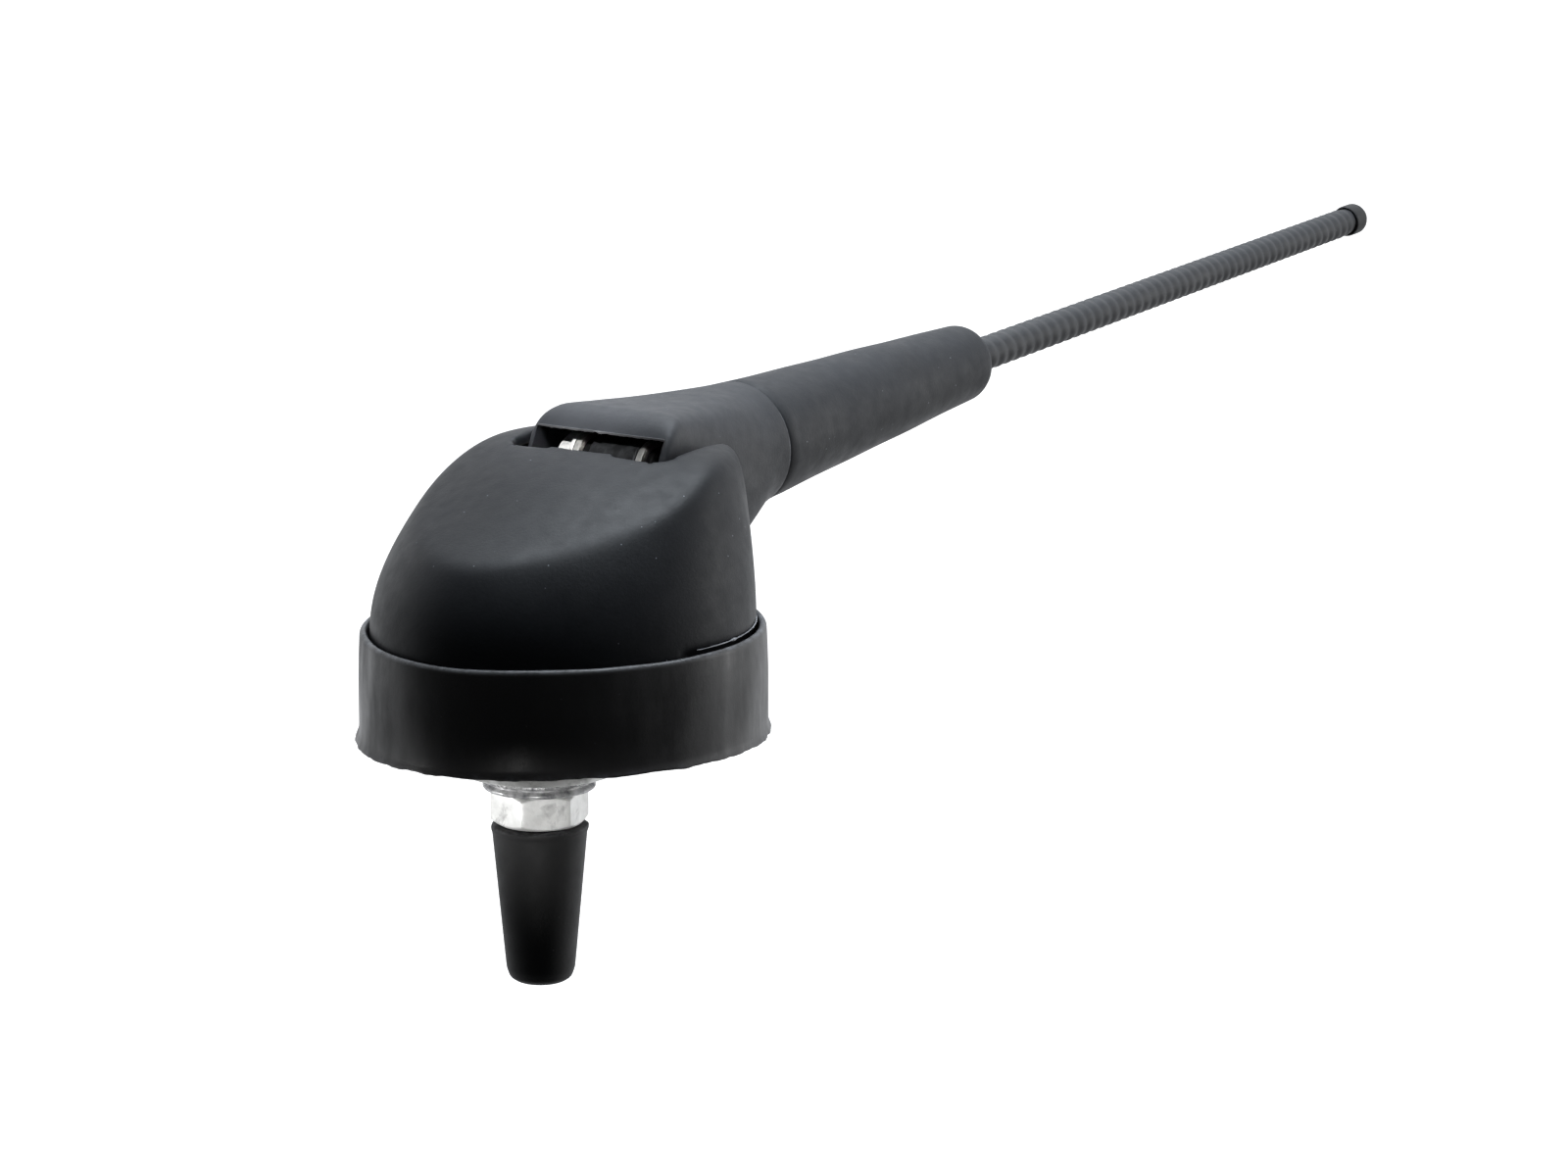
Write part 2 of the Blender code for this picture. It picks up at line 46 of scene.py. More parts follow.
# ---- camera: where it looks from, and where it puts the point at which the stud's axis meets the roof plane
CAMERA = {"azimuth": -56.68, "elevation": 12.48, "distance": 0.95, "lens": 145.35, "sensor": 36.0}
AIM = (-0.15625, -0.09479)      # sideways and upward place of the origin, as parts of the picture's width

COOL = (0.86, 0.93, 1.0)        # tint of the lights above
BACKDROP = 1.25                 # brightness of the studio behind the part

# ---- plan outline and dome: the CAD model's values, but for a sloping front face 0.2 mm lower
PLAN = (31.2, 6.1, 1.45, -0.3, 0.4)
SKIRT_TOP = 16.2
SKIRT_WALL = 1.0
FLARED = math.radians(123.0)    # the foot of the skirt is pulled out most on these two opposite sides
FLOOR_TOP = 2.0
FLOOR_HOLE = 5.6
DOME_INSET = 1.35
DOME_WALL = 2.0
DOME_FOOT = 2.3
DOME_CENTRE = (4.0, 10.0)
WALL_LEAN = (5.75, 6.35, 0.75)
FACET = (38.7, 0.438, 0.008)
DOME_TOP = 42.5
DOME_REAR = (38.5, 0.10)
BLEND = 15.6
CREASE = 90.0                   # how sharply the sloping front meets the wall
# the housing's foot stands off the skirt between these two directions
LIFTED = (math.radians(257.0), math.radians(318.0))
LIFTED_Z = 16.75
SLOT = (11.5, 14.3, 3.6)
SLOT_SILL = 19.0

# ---- arm and hinge
PIVOT = (20.8, 37.9)
SEAM = (53.8, 35.9)
MAST_TILT = math.radians(2.4)
HOOD = ((14.9, 40.6, 20.0, 12.75, 16.0),
        (16.55, 43.85, 20.0, 12.80, 14.0),
        (18.1, 45.5, 20.0, 12.80, 11.0),
        (19.6, 46.35, 20.0, 12.70, 9.0),
        (21.5, 46.8, 20.0, 12.55, 7.5),
        (26.0, 46.65, 20.0, 12.15, 5.5),
        (34.0, 46.2, 20.0, 11.65, 4.0),
        (40.0, 46.0, 21.0, 11.10, 3.2),
        (46.0, 45.9, 23.3, 10.50, 2.5),
        (50.5, 45.85, 25.1, 10.05, 2.1),
        (53.8, 45.81, 25.99, 9.91, 2.0))
HOOD_HOLLOW = ((17.0, 42.0, 11.75),
               (19.2, 44.6, 11.75),
               (20.6, 45.4, 11.60),
               (26.0, 45.3, 10.75),
               (34.0, 44.8, 10.30),
               (40.0, 44.1, 9.30))
HOLLOW_FLOOR = 8.0
WINDOW = (11.6, 43.85, 19.0)
HOOD_FRONT = 16.52              # x of the hood's nose at the window's upper edge
UNDERCUT = ((0.0, 38.0), (16.0, 38.0), (37.8, 22.4), (37.8, 5.0), (0.0, 5.0))
COLLAR_BORE = 6.2
SCREW_HEAD = (-9.0, -7.4, 3.7)
LUG_NEAR = (-7.3, -6.3)
BARREL = (-6.2, 2.4)
SPRING = (2.5, 4.2, 4.0)
LUG_FAR = (4.3, 5.3)
WASHER = (5.4, 6.1, 4.9)
NUT_Y = (6.2, 8.6)
NUT_FLATS = 8.0
PIN_END = 9.6
BARREL_R = 4.9
LUG_R = 4.8
PIN_R = 2.45
BRACKET_FOOT = (10.5, 31.0, 8.6, 15.4, 17.4)
BRACKET_SCREWS = ((28.0, -2.0), (18.0, 0.4))
SCREW_CLEAR = 1.7
LUG_BACK = ((27.0, 17.0),)
LUG_FRONT = ((17.6, 33.0), (16.0, 24.0), (14.0, 17.0))
WEB_REAR = ((34.0, 29.2), (34.0, 40.4))
WEB_R = 4.8
BOSS = (6.0, -22.0, -3.0)
INSERT = (3.6, -18.0, 5.0)      # room in the boss for the brass socket: radius, then from and to

# ---- whip, along its own axis from the seam
BOOT_END = 67.4
BOOT_R = (9.86, 6.22)
ROD_R = (2.83, 2.50)
RIB_PITCH = 2.6
RIB_HEIGHT = 0.17
WHIP_END = 203.0

# ---- clamp below the roof
STUD_R = 3.98
STUD_END = -33.5
CLAW = (13.5, -4.4, -1.7)
CLAW_TEETH = 24
NUT_AF = 13.0
NUT_Z = (-13.1, -7.8)
NUT_TURN = math.radians(-16.0)
CAP_Z = (-37.9, -13.3)
CAP_R = (7.3, 4.95)


# ================================================================ materials
class Paint:
    """A material's node tree with short calls for the nodes used here."""

    def __init__(self, name, colour, metal, rough):
        self.mat = bpy.data.materials.new(name)
        self.mat.use_nodes = True
        self.tree = self.mat.node_tree
        self.shader = self.tree.nodes["Principled BSDF"]
        self.shader.inputs["Base Color"].default_value = (*colour, 1.0)
        self.shader.inputs["Metallic"].default_value = metal
        self.shader.inputs["Roughness"].default_value = rough
        self.place = self.new("ShaderNodeTexCoord").outputs["Object"]

    def new(self, kind, **values):
        node = self.tree.nodes.new(kind)
        for key, value in values.items():
            setattr(node, key, value)
        return node

    def link(self, source, target):
        self.tree.links.new(source, target)

    def stretch(self, scale, rotation=(0.0, 0.0, 0.0)):
        node = self.new("ShaderNodeMapping")
        node.inputs["Scale"].default_value = scale
        node.inputs["Rotation"].default_value = rotation
        self.link(self.place, node.inputs["Vector"])
        return node.outputs["Vector"]

    def noise(self, scale, detail=4.0, rough=0.55, vector=None, distort=0.0):
        node = self.new("ShaderNodeTexNoise")
        node.inputs["Scale"].default_value = scale
        node.inputs["Detail"].default_value = detail
        node.inputs["Roughness"].default_value = rough
        node.inputs["Distortion"].default_value = distort
        self.link(vector if vector is not None else self.place, node.inputs["Vector"])
        return node.outputs["Fac"]

    def cells(self, scale, vector=None):
        node = self.new("ShaderNodeTexVoronoi")
        node.inputs["Scale"].default_value = scale
        self.link(vector if vector is not None else self.place, node.inputs["Vector"])
        return node.outputs["Distance"]

    def ramp(self, source, low, high, start=0.0, end=1.0):
        """source from low..high mapped to start..end and clamped."""
        node = self.new("ShaderNodeMapRange")
        for key, value in (("From Min", low), ("From Max", high), ("To Min", start), ("To Max", end)):
            node.inputs[key].default_value = value
        self.link(source, node.inputs["Value"])
        return node.outputs["Result"]

    def times(self, a, b):
        node = self.new("ShaderNodeMath", operation="MULTIPLY")
        self.link(a, node.inputs[0])
        self.link(b, node.inputs[1])
        return node.outputs[0]

    def plus(self, a, b):
        node = self.new("ShaderNodeMath", operation="ADD")
        self.link(a, node.inputs[0])
        self.link(b, node.inputs[1])
        return node.outputs[0]

    def along_axis(self, axis="Z"):
        """One local coordinate in metres."""
        node = self.new("ShaderNodeSeparateXYZ")
        self.link(self.place, node.inputs[0])
        return node.outputs[axis]

    def tint(self, factor, colour, under=None):
        """Mixes colour over what is under, or over the shader's own base colour, by factor."""
        node = self.new("ShaderNodeMix", data_type="RGBA")
        self.link(factor, node.inputs["Factor"])
        if under is None:
            node.inputs["A"].default_value = self.shader.inputs["Base Color"].default_value
        else:
            self.link(under, node.inputs["A"])
        node.inputs["B"].default_value = (*colour, 1.0)
        return node.outputs["Result"]

    def colour(self, source):
        self.link(source, self.shader.inputs["Base Color"])

    def rough(self, source):
        self.link(source, self.shader.inputs["Roughness"])

    def bump(self, layers):
        """Stacks (height, depth in mm) layers into the normal."""
        last = None
        for source, depth in layers:
            node = self.new("ShaderNodeBump")
            node.inputs["Strength"].default_value = 1.0
            node.inputs["Distance"].default_value = depth * MM
            self.link(source, node.inputs["Height"])
            if last is not None:
                self.link(last, node.inputs["Normal"])
            last = node.outputs["Normal"]
        self.link(last, self.shader.inputs["Normal"])


def soft_rubber(name, dark, light, speckle, grain=1.0, rough=(0.50, 0.66), lip=None, gloss=0.42):
    """Moulded matte rubber: cloudy tone, fine grain, light dust spots, faint flow marks, and an optional
    painted highlight along a rim.
    """
    p = Paint(name, dark, 0.0, sum(rough) / 2)
    p.shader.inputs["Specular IOR Level"].default_value = gloss
    cloud = p.noise(75.0, 5.0, 0.6)
    blotch = p.noise(420.0, 3.0, 0.5)
    colour = p.tint(p.ramp(cloud, 0.32, 0.68), light)
    bright_spots = p.ramp(p.cells(620.0), 0.085, 0.055)
    pick = p.ramp(p.noise(310.0, 0.0), 0.60, 0.66)
    colour = p.tint(p.times(bright_spots, pick), speckle, colour)
    # painted highlight: a lighter, patchy band between two heights along one local axis, standing for the
    # light line on a rim
    if lip is not None:
        axis, low, high, highlight_tone = lip
        near = p.ramp(p.along_axis(axis), low * MM, high * MM)
        painted_highlight = p.ramp(p.noise(500.0, 5.0, 0.7), 0.40, 0.62)
        colour = p.tint(p.times(near, painted_highlight), highlight_tone, colour)
    p.colour(colour)
    p.rough(p.ramp(p.plus(cloud, blotch), 0.7, 1.3, *rough))
    grainy = p.noise(5200.0, 2.0, 0.6)
    pores = p.noise(1900.0, 3.0, 0.6)
    flow = p.noise(160.0, 3.0, 0.5, p.stretch((0.6, 1.0, 1.4), (0.5, 0.3, 0.4)))
    p.bump(((flow, 0.004), (pores, 0.030 * grain), (grainy, 0.012 * grain)))
    return p.mat


def skirt_rubber():
    """Blacker, satin rubber with diagonal wipe marks and a painted highlight along its top lip."""
    p = Paint("skirt_rubber", (0.020, 0.0195, 0.020), 0.0, 0.5)
    p.shader.inputs["Specular IOR Level"].default_value = 0.5
    cloud = p.noise(60.0, 5.0, 0.6)
    streak = p.noise(260.0, 5.0, 0.65, p.stretch((1.0, 1.0, 0.22), (0.75, 0.2, 0.0)))
    colour = p.tint(p.ramp(cloud, 0.35, 0.7), (0.030, 0.0295, 0.030))
    dust = p.times(p.ramp(p.cells(540.0), 0.08, 0.05), p.ramp(p.noise(210.0, 0.0), 0.60, 0.66))
    colour = p.tint(dust, (0.07, 0.072, 0.078), colour)
    # painted highlight: a light, broken line along the top of the skirt's lip
    top = p.ramp(p.along_axis(), (SKIRT_TOP - 0.55) * MM, (SKIRT_TOP - 0.15) * MM)
    painted_highlight = p.times(top, p.ramp(p.noise(420.0, 5.0, 0.7), 0.36, 0.60))
    colour = p.tint(painted_highlight, (0.10, 0.103, 0.112), colour)
    foot = p.ramp(p.along_axis(), 0.9 * MM, 0.1 * MM)
    scuffed = p.times(foot, p.ramp(p.noise(300.0, 5.0, 0.7), 0.50, 0.66))
    colour = p.tint(scuffed, (0.06, 0.062, 0.07), colour)
    p.colour(colour)
    p.rough(p.ramp(p.plus(streak, cloud), 0.75, 1.25, 0.36, 0.64))
    p.bump(((p.noise(150.0, 3.0), 0.05), (streak, 0.030), (p.noise(3800.0, 2.0), 0.012)))
    return p.mat


def plated(name, clean, dull, rough=(0.22, 0.42), mottle=420.0, metal=0.9):
    """Plated or bare metal with a cloudy surface, smudges and fine tumbling marks."""
    p = Paint(name, clean, metal, sum(rough) / 2)
    cloud = p.noise(mottle, 5.0, 0.62)
    smudge = p.noise(mottle * 0.45, 6.0, 0.7, distort=1.2)
    colour = p.tint(p.ramp(cloud, 0.40, 0.66), dull)
    colour = p.tint(p.ramp(smudge, 0.56, 0.72, 0.0, 0.75), tuple(c * 0.35 for c in dull), colour)
    p.colour(colour)
    p.rough(p.ramp(cloud, 0.3, 0.7, *rough))
    scratch = p.noise(900.0, 4.0, 0.7, p.stretch((1.0, 1.0, 7.0), (0.4, 0.0, 0.9)))
    p.bump(((p.noise(700.0, 4.0), 0.02), (scratch, 0.008)))
    return p.mat


def dark_cast():
    p = Paint("dark_casting", (0.020, 0.021, 0.023), 0.55, 0.5)
    p.colour(p.tint(p.ramp(p.noise(500.0, 5.0, 0.65), 0.45, 0.7), (0.06, 0.063, 0.067)))
    p.rough(p.ramp(p.noise(800.0), 0.3, 0.7, 0.38, 0.62))
    p.bump(((p.noise(1100.0, 4.0, 0.6), 0.03),))
    return p.mat


def moulded(name, dark, light, rough=(0.4, 0.55)):
    """Hard moulded plastic with a fine spark-eroded texture."""
    p = Paint(name, dark, 0.0, 0.5)
    p.colour(p.tint(p.ramp(p.noise(180.0, 5.0, 0.6), 0.35, 0.65), light))
    p.rough(p.ramp(p.noise(600.0), 0.3, 0.7, *rough))
    p.bump(((p.noise(2600.0, 3.0), 0.015),))
    return p.mat


def wound_wire():
    """Close-wound wire: a fine step along the local axis."""
    p = Paint("wound_wire", (0.45, 0.45, 0.44), 1.0, 0.35)
    wave = p.new("ShaderNodeTexWave", wave_type="BANDS", bands_direction="X")
    wave.inputs["Scale"].default_value = 280.0
    wave.inputs["Distortion"].default_value = 0.4
    p.link(p.place, wave.inputs["Vector"])
    p.colour(p.tint(p.ramp(wave.outputs["Fac"], 0.2, 0.8), (0.25, 0.25, 0.24)))
    p.bump(((wave.outputs["Fac"], 0.12),))
    return p.mat


# ================================================================ mesh helpers
def add(name, verts, faces, mat, matrix=None, sharp=35.0):
    mesh = bpy.data.meshes.new(name)
    mesh.from_pydata([tuple(v) for v in np.asarray(verts, float) * MM], [], faces)
    mesh.update()
    obj = bpy.data.objects.new(name, mesh)
    bpy.context.scene.collection.objects.link(obj)
    if matrix is not None:
        mesh.transform(matrix)
    if mat is None:
        obj.hide_render = True
    else:
        mesh.materials.append(mat)
    mesh.shade_smooth()
    if sharp is not None:
        mesh.set_sharp_from_angle(angle=math.radians(sharp))
    return obj


def skin(rings, loop=False, ends=True):
    """Quads between equal rings, as (rings, points, 3); loop joins last to first, ends closes them."""
    rings = np.asarray(rings, float)
    count, n = rings.shape[:2]
    faces = []
    for i in range(count if loop else count - 1):
        a, b = i * n, ((i + 1) % count) * n
        faces += [(a + j, a + (j + 1) % n, b + (j + 1) % n, b + j) for j in range(n)]
    if ends and not loop:
        faces.append(tuple(range(n - 1, -1, -1)))
        faces.append(tuple((count - 1) * n + j for j in range(n)))
    return rings.reshape(-1, 3), faces


def outward(obj):
    """Turns the faces outward by the sign of the enclosed volume."""
    mesh = obj.data
    mesh.calc_loop_triangles()
    co = np.empty(len(mesh.vertices) * 3)
    mesh.vertices.foreach_get("co", co)
    tri = np.empty(len(mesh.loop_triangles) * 3, int)
    mesh.loop_triangles.foreach_get("vertices", tri)
    a, b, c = co.reshape(-1, 3)[tri.reshape(-1, 3)].transpose(1, 0, 2)
    if np.einsum("ij,ij->i", a, np.cross(b, c)).sum() < 0:
        mesh.flip_normals()
    return obj


def soften(points, radius, steps=4, closed=True):
    """Rounds each corner of an outline with a short curve that starts radius before it."""
    pts = [np.array(q, float) for q in points]
    out = []
    for i, corner in enumerate(pts):
        if not closed and i in (0, len(pts) - 1):
            out.append(corner)
            continue
        before, after = pts[i - 1], pts[(i + 1) % len(pts)]
        a = corner + (before - corner) * min(radius / max(np.linalg.norm(before - corner), 1e-9), 0.48)
        b = corner + (after - corner) * min(radius / max(np.linalg.norm(after - corner), 1e-9), 0.48)
        for t in np.linspace(0.0, 1.0, steps + 1):
            out.append((1 - t) ** 2 * a + 2 * t * (1 - t) * corner + t * t * b)
    return out


def turned(name, profile, mat, matrix=None, sides=96, radius=0.2, wobble=None, sharp=None):
    """Closed profile of (r, z) turned about the local Z axis, its corners rounded by radius."""
    loop = np.array(soften(profile, radius) if radius else profile, float)
    angle = np.arange(sides) * TURN / sides
    r = loop[:, 0][:, None] * np.ones(sides)
    z = loop[:, 1][:, None] * np.ones(sides)
    if wobble is not None:
        r, z = wobble(r, z, angle[None, :])
    rings = np.stack([r * np.cos(angle), r * np.sin(angle), z], axis=2)
    return outward(add(name, *skin(rings, loop=True), mat, matrix, sharp))


def prism(name, outline, y0, y1, mat, matrix=None, round_by=0.0, edge=0.0):
    outline = soften(outline, round_by) if round_by else outline
    rings = [[(x, y, z) for x, z in outline] for y in (y0, y1)]
    obj = outward(add(name, *skin(rings), mat, matrix))
    if edge:
        bevel(obj, edge)
    return obj


def bevel(obj, width):
    step = obj.modifiers.new("edge", "BEVEL")
    step.width = width * MM
    step.segments = 3
    step.limit_method = "ANGLE"
    step.angle_limit = math.radians(32)
    step.harden_normals = True
    return obj


def combine(obj, other, operation):
    other.hide_render = True
    step = obj.modifiers.new(other.name, "BOOLEAN")
    step.operation = operation
    step.solver = "EXACT"
    step.object = other
    return obj


def settle(obj, sharp=35.0):
    """Applies every modifier and drops the guides they used."""
    guides = [m.object for m in obj.modifiers if m.type == "BOOLEAN"]
    graph = bpy.context.evaluated_depsgraph_get()
    graph.update()
    mesh = bpy.data.meshes.new_from_object(obj.evaluated_get(graph))
    obj.modifiers.clear()
    obj.data = mesh
    for guide in guides:
        bpy.data.objects.remove(guide, do_unlink=True)
    mesh.shade_smooth()
    if sharp is not None:
        mesh.set_sharp_from_angle(angle=math.radians(sharp))
    return obj


def melt(obj, voxel, passes):
    """Voxel skin and smoothing, so that every cut edge gets the soft radius of a moulding."""
    grid = obj.modifiers.new("skin", "REMESH")
    grid.mode = "VOXEL"
    grid.voxel_size = voxel * MM
    grid.use_smooth_shade = True
    ease = obj.modifiers.new("ease", "SMOOTH")
    ease.factor = 0.5
    ease.iterations = passes
    return settle(obj, None)


def along(point, direction):
    turn = Vector(direction).to_track_quat("Z", "Y").to_matrix().to_4x4()
    return Matrix.Translation(Vector(point) * MM) @ turn


def across():
    return along((PIVOT[0], 0.0, PIVOT[1]), (0, 1, 0))


def whip_axis():
    return along((SEAM[0], 0.0, SEAM[1]), (math.cos(MAST_TILT), 0.0, math.sin(MAST_TILT)))


def cylinder(name, r, z0, z1, matrix=None, sides=64, mat=None):
    angle = np.arange(sides) * TURN / sides
    rings = [np.stack([r * np.cos(angle), r * np.sin(angle), np.full(sides, z)], axis=1) for z in (z0, z1)]
    return outward(add(name, *skin(rings), mat, matrix))


def place(obj, body, slot, *nodes):
    """The piece moves with a body and stands for CAD nodes, which it hides."""
    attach(obj, body)
    if nodes:
        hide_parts(*nodes)
    return obj


def ripple(x, y, z, size, seed=0.0):
    """A smooth, fixed unevenness from -1 to 1 at about that size in mm."""
    k = TURN / size
    return (np.sin(k * x + 1.7 * np.sin(0.63 * k * y + seed))
            + np.sin(k * y * 0.91 + 1.3 * np.sin(0.71 * k * z + seed))
            + np.sin(k * z * 1.13 + 1.1 * np.sin(0.57 * k * x + 2 * seed))) / 3.0


# ================================================================ plan and dome
def plan_points(angle, inset):
    reach = sum(a * np.cos(k * angle) for k, a in enumerate(PLAN)) - inset
    swing = -sum(a * k * np.sin(k * angle) for k, a in enumerate(PLAN))
    return reach * np.cos(angle) - swing * np.sin(angle), reach * np.sin(angle) + swing * np.cos(angle)


def plan_reach(turn, inset):
    """Distance from the dome centre to the outline in each direction."""
    x, y = plan_points(np.arange(1440) * TURN / 1440, inset)
    x = x - DOME_CENTRE[0]
    angle = np.arctan2(y, x)
    order = np.argsort(angle)
    return np.interp(turn, angle[order], np.hypot(x, y)[order], period=TURN)


def largest_inside(outside, shape, top=140.0):
    low, high = np.zeros(shape), np.full(shape, top)
    for _ in range(34):
        mid = (low + high) / 2
        out = outside(mid)
        high = np.where(out, mid, high)
        low = np.where(out, low, mid)
    return low


def dome_rings(shrink, rows, sides):
    """Rings of points from the foot to near the pole; shrink insets every limit of the dome."""
    x0, z0 = DOME_CENTRE
    rise, turn = np.meshgrid(np.radians(89.0) * np.linspace(0, 1, rows) ** 0.95,
                             (np.arange(sides) + 0.5) * TURN / sides, indexing="ij")
    dx, dy, dz = np.cos(rise) * np.cos(turn), np.cos(rise) * np.sin(turn), np.sin(rise)
    edge = plan_reach(turn, DOME_INSET + shrink)
    lean = np.maximum(WALL_LEAN[0] - WALL_LEAN[1] * np.cos(turn) + WALL_LEAN[2] * np.sin(turn) ** 2, 0.5)
    wall = largest_inside(
        lambda s: s * np.cos(rise) > edge - lean * (np.maximum(z0 + s * dz - 16.0, 0) / 20.0) ** 2,
        rise.shape)
    level, slope, crown = FACET
    level -= shrink * math.hypot(1.0, slope)
    front = largest_inside(
        lambda s: z0 + s * dz > level + slope * (x0 + s * dx) - crown * (s * dy) ** 2, rise.shape)
    roof = (DOME_TOP - shrink - z0) / np.maximum(dz, 1e-3)
    rear_x, rear_lean = DOME_REAR
    toward = dx + rear_lean * dz
    room = rear_x - shrink - x0 + rear_lean * (16.0 - z0)
    rear = np.where(toward > 0.02, room / np.maximum(toward, 0.02), 1e3)
    body = sum(1.0 / np.maximum(v, 0.1) ** BLEND for v in (wall, roof, rear)) ** (-1.0 / BLEND)
    front = (front ** -BLEND + (roof * 1.02) ** -BLEND) ** (-1.0 / BLEND)
    reach = (body ** -CREASE + front ** -CREASE) ** (-1.0 / CREASE)
    if shrink == 0.0:
        first, last = LIFTED
        span = np.clip((turn - first) / 0.06, 0, 1) * np.clip((last - turn) / 0.06, 0, 1)
        reach = reach - 0.9 * span * np.clip((LIFTED_Z - z0 - reach * dz) / 0.35, 0, 1)
    rings = np.stack([x0 + reach * dx, reach * dy, z0 + reach * dz], axis=2)
    foot = rings[:1].copy()
    foot[..., 2] = DOME_FOOT
    return np.concatenate([foot, rings])


def make_housing(mat):
    outer, inner = dome_rings(0.0, 70, 200), dome_rings(DOME_WALL, 50, 200)
    n = outer.shape[1]
    verts, faces = skin(np.concatenate([outer[::-1], inner]), ends=False)
    last = len(verts) - n
    faces += [tuple(range(n)), tuple(last + j for j in range(n - 1, -1, -1))]
    housing = outward(add("housing_shell", verts, faces, mat))
    front, half, corner = SLOT
    plan = [(80.0, -half), (80.0, half)]
    arc = [(front + corner - corner * math.sin(a), half - corner + corner * math.cos(a))
           for a in np.linspace(0.0, math.pi / 2, 16)]
    plan += arc + [(x, -y) for x, y in reversed(arc)]
    rings = [[(x, y, z) for x, y in plan] for z in (SLOT_SILL, 60.0)]
    combine(housing, outward(add("slot_guide", *skin(rings), None)), "DIFFERENCE")
    return place(melt(housing, 0.46, 4), "base", "housing", "housing")


def make_foot_highlight(mat):
    """A light ribbon along the housing's foot where it stands off the skirt: a painted highlight, with two
    brighter painted glints on it.
    """
    first, last = LIFTED
    angle = np.linspace(first + 0.02, last - 0.05, 150)
    taper = np.sin(np.pi * (angle - first) / (last - first)) ** 0.4
    # two brighter painted glints on the highlight ribbon
    bright_spots = (1.6 * np.exp(-((angle - first - 0.33) / 0.022) ** 2)
              + 1.0 * np.exp(-((angle - first - 0.03) / 0.03) ** 2))
    x, y = plan_points(angle, 0.0)
    thick = 0.10 * taper * (1.0 + 0.35 * ripple(x, y, 0 * x, 3.1, 0.7) + bright_spots)
    turn = np.arctan2(y, x - DOME_CENTRE[0])
    reach = plan_reach(turn, DOME_INSET) - 0.02
    rings = []
    for k in range(8):
        a = k * TURN / 8
        out = reach + thick * math.cos(a)
        rings.append(np.stack([DOME_CENTRE[0] + out * np.cos(turn), out * np.sin(turn),
                               LIFTED_Z - 0.05 + thick * math.sin(a)], axis=1))
    edge = outward(add("foot_highlight", *skin(np.array(rings).transpose(1, 0, 2)), mat))
    return place(edge, "base", "housing")


def make_gasket(mat):
    """Skirt with a rounded, slightly uneven lip, a thin flashing at its foot and sealing rings underneath."""
    sides = 360
    angle = np.arange(sides) * TURN / sides
    wall = [(-0.35, 0.0), (-0.72, -0.10), (-0.82, 0.12), (-0.62, 0.55), (-0.46, 1.1), (-0.42, 2.0),
            (-0.42, 4.5), (-0.42, 9.0), (-0.30, 13.0), (-0.15, SKIRT_TOP - 0.5), (0.25, SKIRT_TOP),
            (SKIRT_WALL - 0.2, SKIRT_TOP), (SKIRT_WALL, SKIRT_TOP - 0.6), (SKIRT_WALL, 9.0),
            (SKIRT_WALL, FLOOR_TOP)]
    wall = np.array(soften(wall, 0.32, 4, closed=False))
    rings = []
    for inset, z in wall:
        x, y = plan_points(angle, inset)
        high = max(z - 9.0, 0.0) / (SKIRT_TOP - 9.0)
        torn = ripple(x, y, 0 * x, 5.5, 2.0) + 0.6 * ripple(x, y, 0 * x, 2.1, 4.0)
        tip = min(max((0.6 - z) / 0.6, 0.0), 1.0) * (inset < -0.3 and z < 0.6)
        side = np.maximum(np.cos(angle - FLARED), 0) ** 8 + 0.3 * np.maximum(-np.cos(angle - FLARED), 0) ** 8
        out = 0.10 * high ** 2 * ripple(x, y, 0 * x, 23.0, 1.0) + tip * (0.10 * torn + 0.25 * side)
        drop = 0.10 * high ** 4 * ripple(x, y, 0 * x, 17.0, 3.0) - tip * (0.10 * torn + 0.75 * side)
        rings.append(np.stack([x + out * np.cos(angle), y + out * np.sin(angle), z + drop], axis=1))
    for r, z in ((FLOOR_HOLE + 0.3, FLOOR_TOP), (FLOOR_HOLE, FLOOR_TOP - 0.3), (FLOOR_HOLE, 0.3),
                 (FLOOR_HOLE + 0.3, 0.0)):
        rings.append(np.stack([r * np.cos(angle), r * np.sin(angle), np.full(sides, z)], axis=1))
    groove = ((0.0, 0.0), (0.3, 0.45), (1.1, 0.45), (1.4, 0.0))
    for r, z in [(start + r, z) for start in (7.6, 11.0) for r, z in groove]:
        rings.append(np.stack([r * np.cos(angle), r * np.sin(angle), np.full(sides, z)], axis=1))
    for inset, z in ((5.2, 0.0), (4.9, 0.45), (4.1, 0.45), (3.8, 0.0)):
        x, y = plan_points(angle, inset)
        rings.append(np.stack([x, y, np.full(sides, z)], axis=1))
    gasket = outward(add("gasket_skirt", *skin(rings, loop=True), mat, sharp=50.0))
    return place(gasket, "base", "gasket", "gasket")


# ================================================================ arm
def squared_ring(x, top, low, half, power, sides=160):
    """Squared-oval section; near the collar it leans so that its last face is square to the whip."""
    mid, tall = (top + low) / 2, (top - low) / 2
    lean = math.tan(MAST_TILT) * min(max((x - 40.0) / 10.0, 0.0), 1.0)
    angle = np.arange(sides) * TURN / sides
    c, s = np.cos(angle), np.sin(angle)
    y = half * np.sign(c) * np.abs(c) ** (2 / power)
    z = mid + tall * np.sign(s) * np.abs(s) ** (2 / power)
    return np.stack([x - lean * (z - SEAM[1]), y, z], axis=1)


